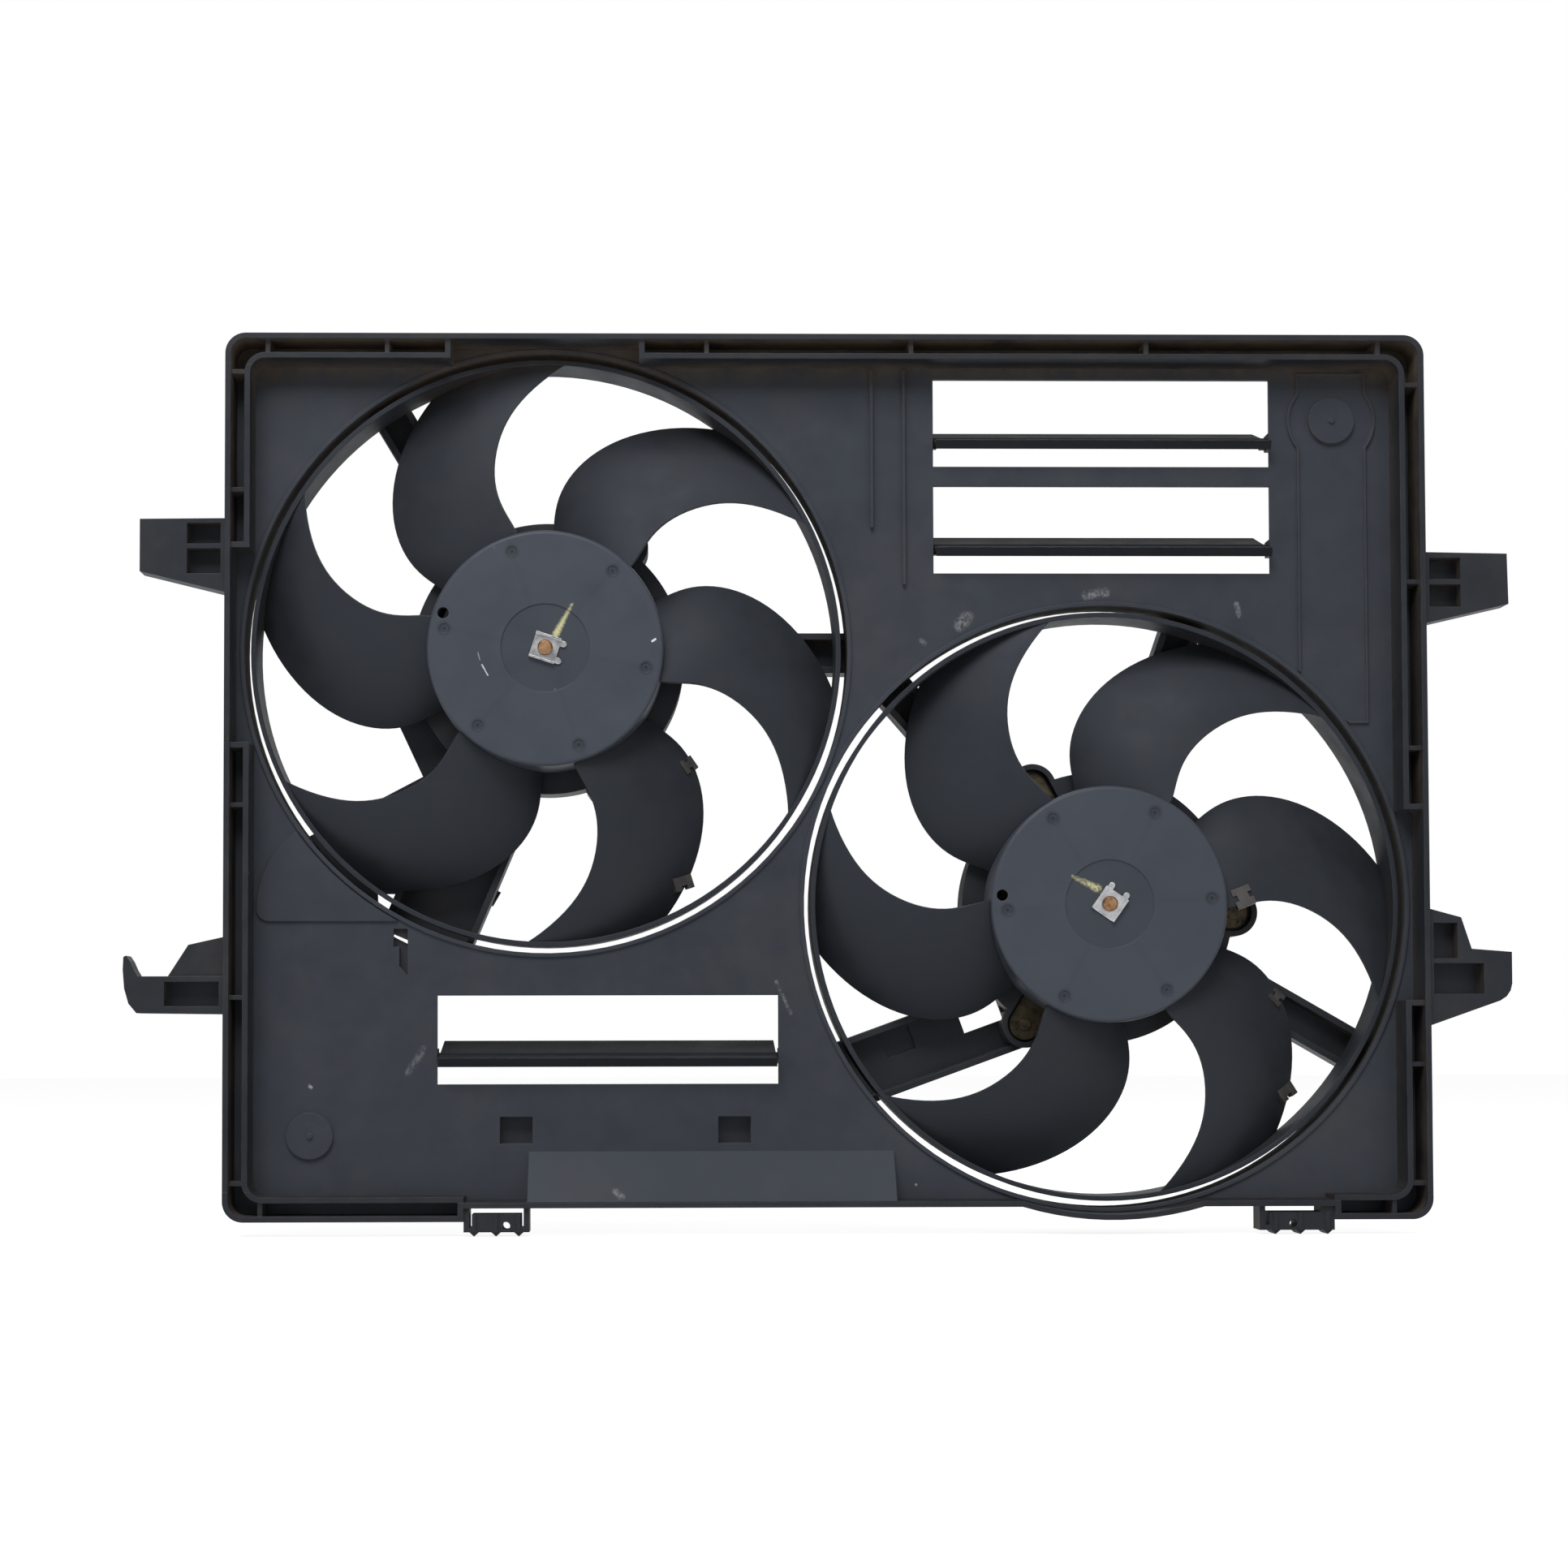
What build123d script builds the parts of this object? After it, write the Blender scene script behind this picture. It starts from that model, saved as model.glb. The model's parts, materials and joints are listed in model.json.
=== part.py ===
"""Twin radiator cooling fan module: one moulded shroud, two banded fans on flat motors.

Millimetres. X runs to the right and Z up, seen from the radiator side. Y runs from the
radiator towards the engine. The origin is the middle of the shroud's front sealing plane.
Angles are counted anticlockwise from +X, seen from the radiator side.
"""
from build123d import *
from math import atan, atan2, cos, degrees, hypot, radians, sin, sqrt
import os

# Fan openings, and the gaps between them and the shroud's edges
OPENING_R = 162.5
OPENINGS_GAP = 5.8
OPENING_TO_SIDE = 7.5
OPENING_TO_EDGE = 5.4
BARREL_T = 2.2
BARREL_DEPTH = 18.0
LIP_BEAD = 1.2

# Ram air windows, two above the right fan and one below the left: height and gaps
WINDOW_H = 47.6
WINDOW_TO_TOP = 19.1
WINDOW_TO_WINDOW = 10.6
WINDOW_TO_OPENING = 17.7
WINDOW_PAST_OPENING = 47.0
WINDOW_TO_SIDE = 78.5
LOWER_WINDOW_TO_OPENING = 22.7
LOWER_WINDOW_TO_SIDE = 111.5

# Flaps in the windows, and the bearings at their ends
FLAP_PIVOT_BEHIND = 2.3
FLAP_PIVOT_UP = 15.0
FLAP_T = 1.8
FLAP_BEAD_W = 3.0
FLAP_BEAD_T = 4.8
FLAP_GAP = 0.9
FLAP_PIN_R = 2.0
FLAP_PIN_PLAY = 0.05
FLAP_OPEN = {"upper": 70.0, "middle": 70.0, "lower": 76.0}
FLAP_BEARING_W = 5.0
FLAP_BEARING_WALL = 2.2
STOP_REACH = 3.0
STOP_L = 3.0
SEAT_GAP = 0.3

# Shroud moulding
CORNER_R = 11.0
WALL = 3.0
PLATE_Y = 20.0
PLATE_T = 2.6
CHANNEL_W = 13.0
INNER_WALL_Y = 1.5
RIB_Y = 3.0
RIB_T = 2.4

# Bottom edge, set back between the corners, and its ramp
BOTTOM_STEP = 7.1
BOTTOM_STEP_FROM_LEFT = 127.0
BOTTOM_STEP_FROM_RIGHT = 52.2
RAMP_FROM_STEP = 33.5
RAMP_TO_AXIS = 114.5
RAMP_RISE_Z = 29.0

# Low relief on the panel's front
RELIEF_H = 1.4
STRIP_TO_WINDOW = 33.5
STRIP_W = 37.6
STRIP_RIDGE_W = 1.2
STRIP_L = 191.0
STRIP_TO_TOP = 15.5
STRIP_PAD_TO_TOP = 41.7
STRIP_PAD_R = 24.0
LONG_RIBS = ((13.5, 86.0), (30.9, 117.0))
LONG_RIB_TO_TOP = 14.5
LONG_RIB_T = 1.6
LONG_RIB_H = 2.5
GATE_DISC_FROM_CORNER = (43.4, 44.8)
GATE_DISC_R = 12.5
GATE_DISC_H = 2.0
GATE_PIN_R = 1.6
GATE_PIN_H = 3.0
RELIEF_CLEAR = 1.0

# The corner pad: an arc, straight edges and a rounded corner, from the left edge and the opening's bottom
CORNER_PAD = ((14.5, 24.4), (18.5, 43.9), (34.7, 65.1), (70.5, 65.1), (120.5, 17.3), (21.5, 17.3), (16.5, 19.3))

# Small blind openings in the panel
SNAP_FROM_LEFT = 42.3
SNAP_FROM_RIGHT = 23.6
SNAP_TO_EDGE = 47.6
SNAP_W = 17.5
SNAP_H = 14.4
SNAP_WALL = 2.0
SNAP_DEPTH = 7.0
SNAP_FLOOR = 2.0
NOTCH = ((-7.6, 0.0), (0.0, 0.0), (0.0, -25.3), (-4.5, -19.9), (-4.5, -9.6), (-7.6, -9.6))
NOTCH_DEG = 243.5
NOTCH_CLEAR = 4.3
NOTCH_DEPTH = 3.0
POCKET_TO_ARM = 2.0

# Second wall of the rim: the gaps in it beside the fans, and the ribs' distances from the edges
TOP_GAP_HALF = 50.3
LEFT_GAP_DOWN = 50.8
LEFT_GAP_UP = 53.1
RIGHT_GAP_DOWN = 51.6
RIGHT_GAP_UP = 50.1
TOP_RIBS_FROM_LEFT = (22.1, 85.7, 256.5)
TOP_RIBS_FROM_RIGHT = (23.8, 148.5, 274.9)
LEFT_RIBS_FROM_TOP = (20.1, 83.5)
LEFT_RIBS_FROM_BOTTOM = (20.2, 118.7, 221.0)
RIGHT_RIBS_FROM_TOP = (26.2, 132.5, 221.9)
RIGHT_RIBS_FROM_BOTTOM = (18.9, 82.1)
BOTTOM_RIB_FROM_LEFT = 19.5
BOTTOM_RIB_FROM_RIGHT = 19.9

# Fan moulding
FAN_TIP_CLEAR = 3.5
FAN_RING_T = 2.6
FAN_RING_Y = 20.0
FAN_RING_DEPTH = 23.5
HUB_R = 63.4
HUB_Y = 5.0
HUB_DEPTH = 31.0
HUB_T = 2.6
HUB_EDGE_R = 2.2
HUB_RECESS_R = 23.7
HUB_RECESS = 0.5
HUB_BOSS_R = 12.0
HUB_BOSS_DEPTH = 8.0
HUB_RIB_T = 2.0
HUB_RIB_DEPTH = 6.0
HUB_RIB_TURN = 20.0
HUB_ROOT = 1.0
PIN_HOLE_AT = (5.8, 161.0)
PIN_HOLE_R = 3.0
MARK_AT = (8.6, 49.0)
MARK_R = 2.6
MARK_DEPTH = 0.4
PHASE = {"left": 0.0, "right": 14.3}

# Blades: share of the way from the hub to the ring, leading edge's and trailing edge's angle
BLADES = 6
BLADE = (
    (-0.0356, 44.0, 88.0), (0.1318, 46.2, 87.0), (0.2782, 47.1, 85.4), (0.4351, 45.2, 81.2),
    (0.5921, 41.6, 75.0), (0.7490, 36.4, 67.2), (0.9059, 29.6, 58.2), (1.0523, 22.4, 49.6))
ROOT_FRONT = 3.9
ROOT_REAR = 1.25
TIP_FRONT = 1.0
TIP_REAR = 1.2
BLADE_T = 3.0
BLADE_EDGE_T = 1.3
BLADE_CAMBER = 0.055

# Balance clips: blade number, share of the blade's length, edge, width along the edge and grip across it
BALANCE_CLIPS = {
    "left": ((4, 0.357, "trailing", 8.0, 8.0), (4, 0.835, "trailing", 10.5, 11.0)),
    "right": ((4, 0.475, "trailing", 8.0, 8.0), (4, 0.832, "trailing", 10.5, 11.0), (5, 0.111, "leading", 10.5, 10.0)),
}
BALANCE_CLIP_T = 0.8
BALANCE_NOTCH = 4.4
BALANCE_PROUD = 0.7

# Shaft and the clip on it
SHAFT_R = 4.0
SHAFT_Y = 1.8
SHAFT_END_GAP = 0.5
SHAFT_CHAMFER = 0.8
CLIP_T = 1.1
CLIP_W = 14.2
CLIP_TONGUE_W = 3.2
CLIP_TONGUE_L = 1.2
CLIP_FOLD = 1.2
CLIP_TURN = {"left": -18.0, "right": 55.0}

# Motor
HUB_TO_CAN = 10.8
HUB_RIB_TO_BOSS = 0.9
CAN_L = 59.0
CAN_T = 2.0
CAN_BOSS_R = 11.0
CAN_BOSS_L = 2.5
CAN_EDGE_R = 4.0
BEARING_PLAY = 0.04
BEARING_R = 8.0
BEARING_L = 8.0
BEARING_SEAT = 0.5
SHAFT_CLEAR = 1.0
MAGNET_T = 7.6
MAGNET_ARC = 140.0
MAGNET_START = 12.0
MAGNET_L = 33.0
MAGNET_SEAT = 0.1
AIR_GAP = 1.4
CORE_START = 15.0
CORE_L = 26.0
SLOTS = 12
SLOT_W = 6.0
SLOT_BOTTOM_R = 18.0
SLOT_MOUTH = 2.4
TOOTH_TIP = 2.5
COIL_TO_RIM = 5.5
COIL_BORE_R = 13.0
COIL_OVERHANG = 5.5
COIL_INSET = 0.1
COMMUTATOR_R = 13.0
COMMUTATOR_GAP = 1.0
COMMUTATOR_L = 10.5
BAR_GROOVE_W = 0.6
BAR_GROOVE = 1.2
BRUSH_W = 6.0
BRUSH_H = 7.0
BRUSH_L = 15.0
BRUSH_GAP = 0.1
BRUSH_BOX_T = 1.5
BRUSH_BOX_L = 20.0
BRUSH_BOX_START = 2.5
CARD_TO_CAP = 0.5
CARD_T = 2.5
CARD_SEAT = 0.2
CARD_BORE = 6.0
CAP_T = 3.0
CAP_BOSS_L = 8.0
SOCKET_W = 24.0
SOCKET_H = 14.0
SOCKET_L = 12.0
SOCKET_T = 1.8
SOCKET_TO_RIM = 17.0
PIN_W = 3.0
PIN_T = 0.8
PIN_PITCH = 9.6
PIN_SHORT = 3.0

# Motor flange, its ears and the carrier that holds it
FLANGE_SET_BACK = 4.0
FLANGE_T = 2.5
FLANGE_RIM = 7.0
EAR_REACH = 25.0
EAR_W = 17.0
EARS = {"left": (56.0, 176.0, 296.0), "right": (118.0, 238.0, 358.0)}
SCREW_R = 3.0
SCREW_PLAY = 0.3
SCREW_HEAD_R = 5.6
SCREW_HEAD_L = 4.5
SCREW_COLLAR = 1.0
SCREW_COLLAR_T = 1.2
SCREW_TIP = 1.5
CARRIER_CLEAR = 8.0
CARRIER_RING_W = 16.5
CARRIER_LEAD = 5.0
CARRIER_WALL = 3.0
LOBE_R = 13.0
POCKET_R = 10.0

# Arms: direction, width and how far the middle line passes beside the axis
ARM_BEHIND_RING = 3.5
ARM_DEPTH = 15.0
ARM_WALL = 3.5
ARM_FOOT = 7.3
ARM_CLEAR = 0.5
ARMS = {
    "left": ((121.0, 21.0, 4.0), (0.0, 22.0, 4.0), (247.0, 50.0, -2.0)),
    "right": ((131.0, 21.0, 4.0), (71.0, 21.0, 4.0), (-30.0, 22.0, 3.0), (200.0, 38.0, 39.0)),
}

# The wide arm's hole, from the carrier ring, and its recess, from the arm's end: along, across, width and height
WIDE_ARM_HOLE = (4.5, 33.0, 23.0, 14.0)
WIDE_ARM_RECESS = (45.0, 31.6, 17.0, 13.0)
RECESS_FLOOR = 1.2

# Deck behind the left fan: inner corners, outer corners' angles, and the hole as insets and angles
DECK_INNER = ((-10.0, -62.0), (-62.0, 18.0), (-104.0, 10.0), (-70.0, -63.0))
DECK_OUTER_DEG = (215.5, 230.2, 243.7)
DECK_WALL_ARC = (215.4, 256.0)
DECK_HOLE = ((12.6, 233.4), (28.0, 242.7), (16.9, 247.2), (8.1, 240.8), (8.6, 234.5))

# Control module on the deck
MODULE_DEG = 240.0
MODULE_FROM_ARM_END = 44.0
MODULE_W = 62.0
MODULE_D = 48.0
MODULE_H = 17.0
MODULE_COVER_T = 3.0
FIN_H = 9.0
FIN_T = 2.0
FINS = 8
MODULE_WALL = 2.0
MODULE_SCREW_R = 2.0
MODULE_SCREW_HEAD_R = 3.6
MODULE_SCREW_HEAD_L = 2.4
MODULE_EAR = 9.0
MODULE_EAR_T = 3.0
MODULE_SOCKET = (14.0, 30.0, 12.0)
MODULE_SOCKET_T = 1.8
MODULE_SOCKET_UP = 1.0
BOARD_UP = 6.0
BOARD_T = 1.6
CHIP = (10.0, 10.0)
CHIP_REACH = 4.0
CHIP_PITCH = 16.0

# Side tabs: how far their corners and pockets reach out from the edge, and their heights
TAB_Y = 3.0
TAB_T = 13.0
TAB_WALL = 2.6
GUSSET_Y = 6.0
LEFT_UPPER_TAB = ((0.0, 137.6), (45.5, 137.2), (45.5, 109.2), (0.0, 98.0))
LEFT_UPPER_POCKETS = ((2.6, 20.5, 124.0, 135.0), (2.6, 20.5, 108.0, 121.4))
LEFT_LOWER_TAB = (
    (0.0, -106.5), (45.5, -106.5), (47.6, -103.0), (49.6, -98.5), (51.6, -95.5), (53.0, -96.2), (53.3, -103.0),
    (52.5, -113.0), (50.2, -121.0), (46.0, -126.0), (0.0, -126.6))
LEFT_LOWER_POCKETS = ((2.6, 31.5, -122.4, -109.4),)
LEFT_GUSSET = ((0.0, -85.4), (19.3, -89.7), (30.1, -106.5), (0.0, -106.5))
RIGHT_UPPER_TAB = ((0.0, 120.0), (44.5, 119.2), (45.1, 92.1), (0.0, 81.6))
RIGHT_UPPER_POCKETS = ((2.6, 19.5, 105.4, 117.0), (2.6, 19.5, 90.5, 102.6))
RIGHT_LOWER_TAB = (
    (0.0, -71.3), (17.5, -76.1), (23.0, -92.9), (44.5, -94.6), (44.5, -111.4), (43.6, -115.2), (41.4, -118.4),
    (38.0, -120.6), (0.0, -134.0))
RIGHT_LOWER_POCKETS = ((2.6, 15.5, -98.0, -79.0), (2.6, 29.5, -117.0, -100.6))

# Bottom clips: width, hole, teeth, side slot and the width that stays joined on the right
CLIP_Y = 2.0
CLIP_L = 14.0
CLIP_HOLE_R = 2.15
CLIP_HOLE_UP = 3.3
CLIP_BLOCK_H = 9.5
CLIP_TOP_SLOT = 3.2
CLIP_ARM_T = 3.0
CLIP_ROOT_H = 2.4
CLIP_TOOTH_H = 2.2
CLIP_TOOTH_W = 5.0
CLIP_RIB_T = 1.8
CLIP_RIB_H = 1.2
LEFT_CLIP = (34.7, 22.4, (5.6, 17.2, 29.2), 1.4, 0.0)
RIGHT_CLIP = (40.0, 18.1, (8.5, 21.7, 36.3), 2.4, 7.4)

# The shroud's size and the fans' places follow from the openings and the windows
WINDOW_STACK = 2 * WINDOW_H + WINDOW_TO_TOP + WINDOW_TO_WINDOW + WINDOW_TO_OPENING
BODY_H = OPENING_TO_EDGE + 2 * OPENING_R + WINDOW_STACK
FAN_Z = BODY_H / 2 - OPENING_TO_EDGE - OPENING_R
FAN_X = sqrt((OPENING_R + OPENINGS_GAP / 2) ** 2 - FAN_Z ** 2)
BODY_W = 2 * (FAN_X + OPENING_R + OPENING_TO_SIDE)
HALF_W, HALF_H = BODY_W / 2, BODY_H / 2
SIDES = {"left": (-FAN_X, FAN_Z), "right": (FAN_X, -FAN_Z)}
LEFT_OPENING_END = OPENING_R - FAN_X
LEFT_OPENING_LOW = FAN_Z - OPENING_R
WINDOW_END = HALF_W - WINDOW_TO_SIDE
WINDOW_W = WINDOW_END - WINDOW_PAST_OPENING - LEFT_OPENING_END
WINDOW_X = WINDOW_END - WINDOW_W / 2
LOWER_WINDOW_X0 = LOWER_WINDOW_TO_SIDE - HALF_W
UPPER_WINDOW_Z = HALF_H - WINDOW_TO_TOP - WINDOW_H / 2
WINDOW_CENTRES = {
    "upper": (WINDOW_X, UPPER_WINDOW_Z),
    "middle": (WINDOW_X, UPPER_WINDOW_Z - WINDOW_H - WINDOW_TO_WINDOW),
    "lower": (LOWER_WINDOW_X0 + WINDOW_W / 2, LEFT_OPENING_LOW - LOWER_WINDOW_TO_OPENING - WINDOW_H / 2),
}

# Places on the shroud
BOTTOM_STEP_X0 = BOTTOM_STEP_FROM_LEFT - HALF_W
BOTTOM_STEP_X1 = HALF_W - BOTTOM_STEP_FROM_RIGHT
RAMP_X0 = BOTTOM_STEP_X0 + RAMP_FROM_STEP
RAMP_X1 = FAN_X - RAMP_TO_AXIS
STRIP_X = WINDOW_END + STRIP_TO_WINDOW
STRIP_Z1 = HALF_H - STRIP_TO_TOP
STRIP_Z0 = STRIP_Z1 - STRIP_L
STRIP_PAD_Z = HALF_H - STRIP_PAD_TO_TOP
GATE_DISCS = ((GATE_DISC_FROM_CORNER[0] - HALF_W, GATE_DISC_FROM_CORNER[1] - HALF_H), (STRIP_X, STRIP_PAD_Z))
SNAP_Z = SNAP_TO_EDGE - HALF_H
SNAP_CENTRES = (
    (LOWER_WINDOW_X0 + SNAP_FROM_LEFT, SNAP_Z), (LOWER_WINDOW_X0 + WINDOW_W - SNAP_FROM_RIGHT, SNAP_Z))
BOTTOM_CLIPS = ((BOTTOM_STEP_X0, *LEFT_CLIP), (BOTTOM_STEP_X1 - RIGHT_CLIP[0], *RIGHT_CLIP))
TOP_GAP_X0, TOP_GAP_X1 = -FAN_X - TOP_GAP_HALF, -FAN_X + TOP_GAP_HALF
LEFT_GAP_Z0, LEFT_GAP_Z1 = FAN_Z - LEFT_GAP_DOWN, FAN_Z + LEFT_GAP_UP
RIGHT_GAP_Z0, RIGHT_GAP_Z1 = -FAN_Z - RIGHT_GAP_DOWN, -FAN_Z + RIGHT_GAP_UP
TOP_RIBS_X = [d - HALF_W for d in TOP_RIBS_FROM_LEFT] + [HALF_W - d for d in TOP_RIBS_FROM_RIGHT]
BOTTOM_RIBS_X = (BOTTOM_RIB_FROM_LEFT - HALF_W, HALF_W - BOTTOM_RIB_FROM_RIGHT)
LEFT_RIBS_Z = [HALF_H - d for d in LEFT_RIBS_FROM_TOP] + [d - HALF_H for d in LEFT_RIBS_FROM_BOTTOM]
RIGHT_RIBS_Z = [HALF_H - d for d in RIGHT_RIBS_FROM_TOP] + [d - HALF_H for d in RIGHT_RIBS_FROM_BOTTOM]

# Depths, from the panel back to the motor's end
PLATE_REAR_Y = PLATE_Y + PLATE_T
FLAP_PIVOT_Y = PLATE_REAR_Y + FLAP_PIVOT_BEHIND
BARREL_REAR_Y = PLATE_Y + BARREL_DEPTH
FAN_RING_REAR_Y = FAN_RING_Y + FAN_RING_DEPTH
HUB_REAR_Y = HUB_Y + HUB_DEPTH
ARM_Y = FAN_RING_REAR_Y + ARM_BEHIND_RING
ARM_REAR_Y = ARM_Y + ARM_DEPTH
CARRIER_Y = ARM_Y - CARRIER_LEAD
CARRIER_REAR_Y = ARM_REAR_Y
FLANGE_Y = CARRIER_Y + FLANGE_SET_BACK
POCKET_FLOOR_Y = FLANGE_Y + FLANGE_T
CAN_Y = HUB_Y + HUB_T + HUB_RIB_DEPTH + HUB_RIB_TO_BOSS + CAN_BOSS_L
CAN_REAR_Y = CAN_Y + CAN_L
MAGNET_Y = CAN_Y + MAGNET_START
CORE_Y = CAN_Y + CORE_START
COMMUTATOR_Y = CORE_Y + CORE_L + COIL_OVERHANG + COMMUTATOR_GAP
CARD_Y = CAN_REAR_Y - CARD_T - CARD_TO_CAP
FRONT_BEARING_Y = CAN_Y - CAN_BOSS_L + CAN_T
REAR_BEARING_Y = CAN_REAR_Y + BEARING_SEAT
SHAFT_REAR_Y = REAR_BEARING_Y + BEARING_L - SHAFT_END_GAP

# Radii, from the opening in and from the hub out
BARREL_R = OPENING_R + BARREL_T
ARM_OUT_R = BARREL_R + ARM_FOOT
MODULE_R = ARM_OUT_R - MODULE_FROM_ARM_END
FAN_RING_R = OPENING_R - FAN_TIP_CLEAR
CAN_R = HUB_R - HUB_T - HUB_TO_CAN
CAN_BORE_R = CAN_R - CAN_T
CORE_R = CAN_BORE_R - MAGNET_T - AIR_GAP
COIL_R = CORE_R - COIL_TO_RIM
SOCKET_RADIUS = CAN_R - SOCKET_TO_RIM
FLANGE_R = CAN_R + FLANGE_RIM
EAR_R = CAN_R + EAR_REACH
CARRIER_BORE_R = CAN_R + CARRIER_CLEAR
CARRIER_R = CARRIER_BORE_R + CARRIER_RING_W


def seen(y):
    """The drawing plane at depth y: sketch X and Y are the model's X and Z."""
    return Plane(origin=(0, y, 0), x_dir=(1, 0, 0), z_dir=(0, -1, 0))


def prism(sketch, y0, y1):
    """A sketch in X and Z, standing from depth y0 to depth y1."""
    return extrude(seen(y0) * sketch, amount=y1 - y0, dir=(0, 1, 0))


def rod(radius, y0, y1, x=0.0, z=0.0):
    """A round bar along Y."""
    return prism(Pos(x, z) * Circle(radius), y0, y1)


def tube(outer, inner, y0, y1):
    """A round tube along Y on the origin's axis."""
    return prism(Circle(outer) - Circle(inner), y0, y1)


def block(x0, x1, y0, y1, z0, z1):
    """A box between two corners."""
    return Pos((x0 + x1) / 2, (y0 + y1) / 2, (z0 + z1) / 2) * Box(x1 - x0, y1 - y0, z1 - z0)


def turned(shape, degrees_ccw):
    """A shape turned anticlockwise about the Y axis, seen from the radiator side."""
    return Rot(0, -degrees_ccw, 0) * shape


def spot(radius, degrees_ccw):
    """The X and Z of a point at a radius and an angle."""
    return radius * cos(radians(degrees_ccw)), radius * sin(radians(degrees_ccw))


def band(x0, x1, z0, z1):
    """A rectangle sketch between two corners in X and Z."""
    return Pos((x0 + x1) / 2, (z0 + z1) / 2) * Rectangle(x1 - x0, z1 - z0)


def outline(inset):
    """The shroud's outline in X and Z, drawn in by a distance."""
    half_h = BODY_H / 2
    sheet = RectangleRounded(BODY_W - 2 * inset, BODY_H - 2 * inset, CORNER_R - inset)
    step = band(BOTTOM_STEP_X0 - inset, BOTTOM_STEP_X1 + inset, -half_h, -half_h + BOTTOM_STEP + inset)
    bulge = Pos(*SIDES["right"]) * Circle(half_h - FAN_Z - inset)
    return sheet - step + bulge


def openings(radius):
    """The two fan openings as a sketch."""
    return sum((Pos(*axis) * Circle(radius) for axis in SIDES.values()), Sketch())


def flap_bearings(x, z, open_deg):
    """The two bearing blocks behind the ends of one window, each with its pin hole and flap stop."""
    pivot_z = z - WINDOW_H / 2 + FLAP_PIVOT_UP
    reach = FLAP_PIN_R + FLAP_PIN_PLAY + FLAP_BEARING_WALL
    stop_y = FLAP_PIVOT_Y + 2 * FLAP_PIN_R
    open_cos, open_sin = cos(radians(open_deg)), sin(radians(open_deg))
    face_z = (stop_y - FLAP_PIVOT_Y - FLAP_T / 2 * open_cos) / open_sin * open_cos - FLAP_T / 2 * open_sin
    across = Rot(0, 90, 0) * Cylinder(FLAP_PIN_R + FLAP_PIN_PLAY, WINDOW_W + 4 * FLAP_BEARING_W)
    blocks = Part()
    for side in (-1, 1):
        edge = x + side * WINDOW_W / 2
        x0, x1 = sorted((edge, edge + side * FLAP_BEARING_W))
        bearing_block = block(x0, x1, PLATE_REAR_Y, stop_y + STOP_L, pivot_z - reach, pivot_z + reach)
        bearing_block -= Pos(x, FLAP_PIVOT_Y, pivot_z) * across
        x0, x1 = sorted((edge - side * STOP_REACH, edge + side * FLAP_BEARING_W))
        bearing_block += block(x0, x1, stop_y, stop_y + STOP_L, pivot_z - STOP_REACH, pivot_z + face_z - SEAT_GAP)
        blocks += bearing_block
    return blocks


def ramp():
    """The sloping stretch of the bottom edge that comes forward to the sealing plane."""
    foot = -BODY_H / 2 + BOTTOM_STEP + WALL
    crest = foot + RAMP_RISE_Z - WALL
    slope = Polygon(
        (INNER_WALL_Y, foot), (PLATE_Y, crest), (PLATE_REAR_Y, crest), (PLATE_REAR_Y, crest - PLATE_T),
        (INNER_WALL_Y + 2 * PLATE_T, foot), align=None)
    cheek = Polygon(
        (INNER_WALL_Y, foot), (PLATE_Y, crest), (PLATE_REAR_Y, crest), (PLATE_REAR_Y, foot), align=None)
    side = Plane(origin=(0, 0, 0), x_dir=(0, 1, 0), z_dir=(1, 0, 0))
    wall = extrude(Pos(RAMP_X0, 0, 0) * (side * slope), amount=RAMP_X1 - RAMP_X0, dir=(1, 0, 0))
    for x in (RAMP_X0, RAMP_X1 - PLATE_T):
        wall += extrude(Pos(x, 0, 0) * (side * cheek), amount=PLATE_T, dir=(1, 0, 0))
    return wall


def panel_relief():
    """Low raised shapes on the panel's front: the strip's ridge, ribs, gate discs and the corner pad."""
    half = STRIP_W / 2
    ridge = band(STRIP_X - half, STRIP_X + half, STRIP_Z0, STRIP_Z1)
    ridge += Pos(STRIP_X, STRIP_PAD_Z) * Circle(STRIP_PAD_R)
    half -= STRIP_RIDGE_W
    ridge -= band(STRIP_X - half, STRIP_X + half, STRIP_Z0 + STRIP_RIDGE_W, STRIP_Z1 - STRIP_RIDGE_W)
    ridge -= Pos(STRIP_X, STRIP_PAD_Z) * Circle(STRIP_PAD_R - STRIP_RIDGE_W)
    points = [(x - HALF_W, z + LEFT_OPENING_LOW) for x, z in CORNER_PAD]
    lines = (ThreePointArc(*points[:3]), Polyline(*points[2:6]), ThreePointArc(*points[5:], points[0]))
    pad = make_face(Wire([edge for line in lines for edge in line.edges()]))
    field = RectangleRounded(BODY_W - 2 * CHANNEL_W, BODY_H - 2 * CHANNEL_W, CORNER_R - WALL)
    field -= openings(BARREL_R + RELIEF_CLEAR)
    relief = prism((ridge + pad) & field, PLATE_Y - RELIEF_H, PLATE_Y)
    for beside, length in LONG_RIBS:
        x = LEFT_OPENING_END + beside
        top = HALF_H - LONG_RIB_TO_TOP
        rib = band(x - LONG_RIB_T / 2, x + LONG_RIB_T / 2, top - length, top)
        relief += prism(rib & field, PLATE_Y - LONG_RIB_H, PLATE_Y)
    for x, z in GATE_DISCS:
        relief += rod(GATE_DISC_R, PLATE_Y - GATE_DISC_H, PLATE_Y, x, z)
        relief += rod(GATE_PIN_R, PLATE_Y - GATE_PIN_H, PLATE_Y, x, z)
    return relief


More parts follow.
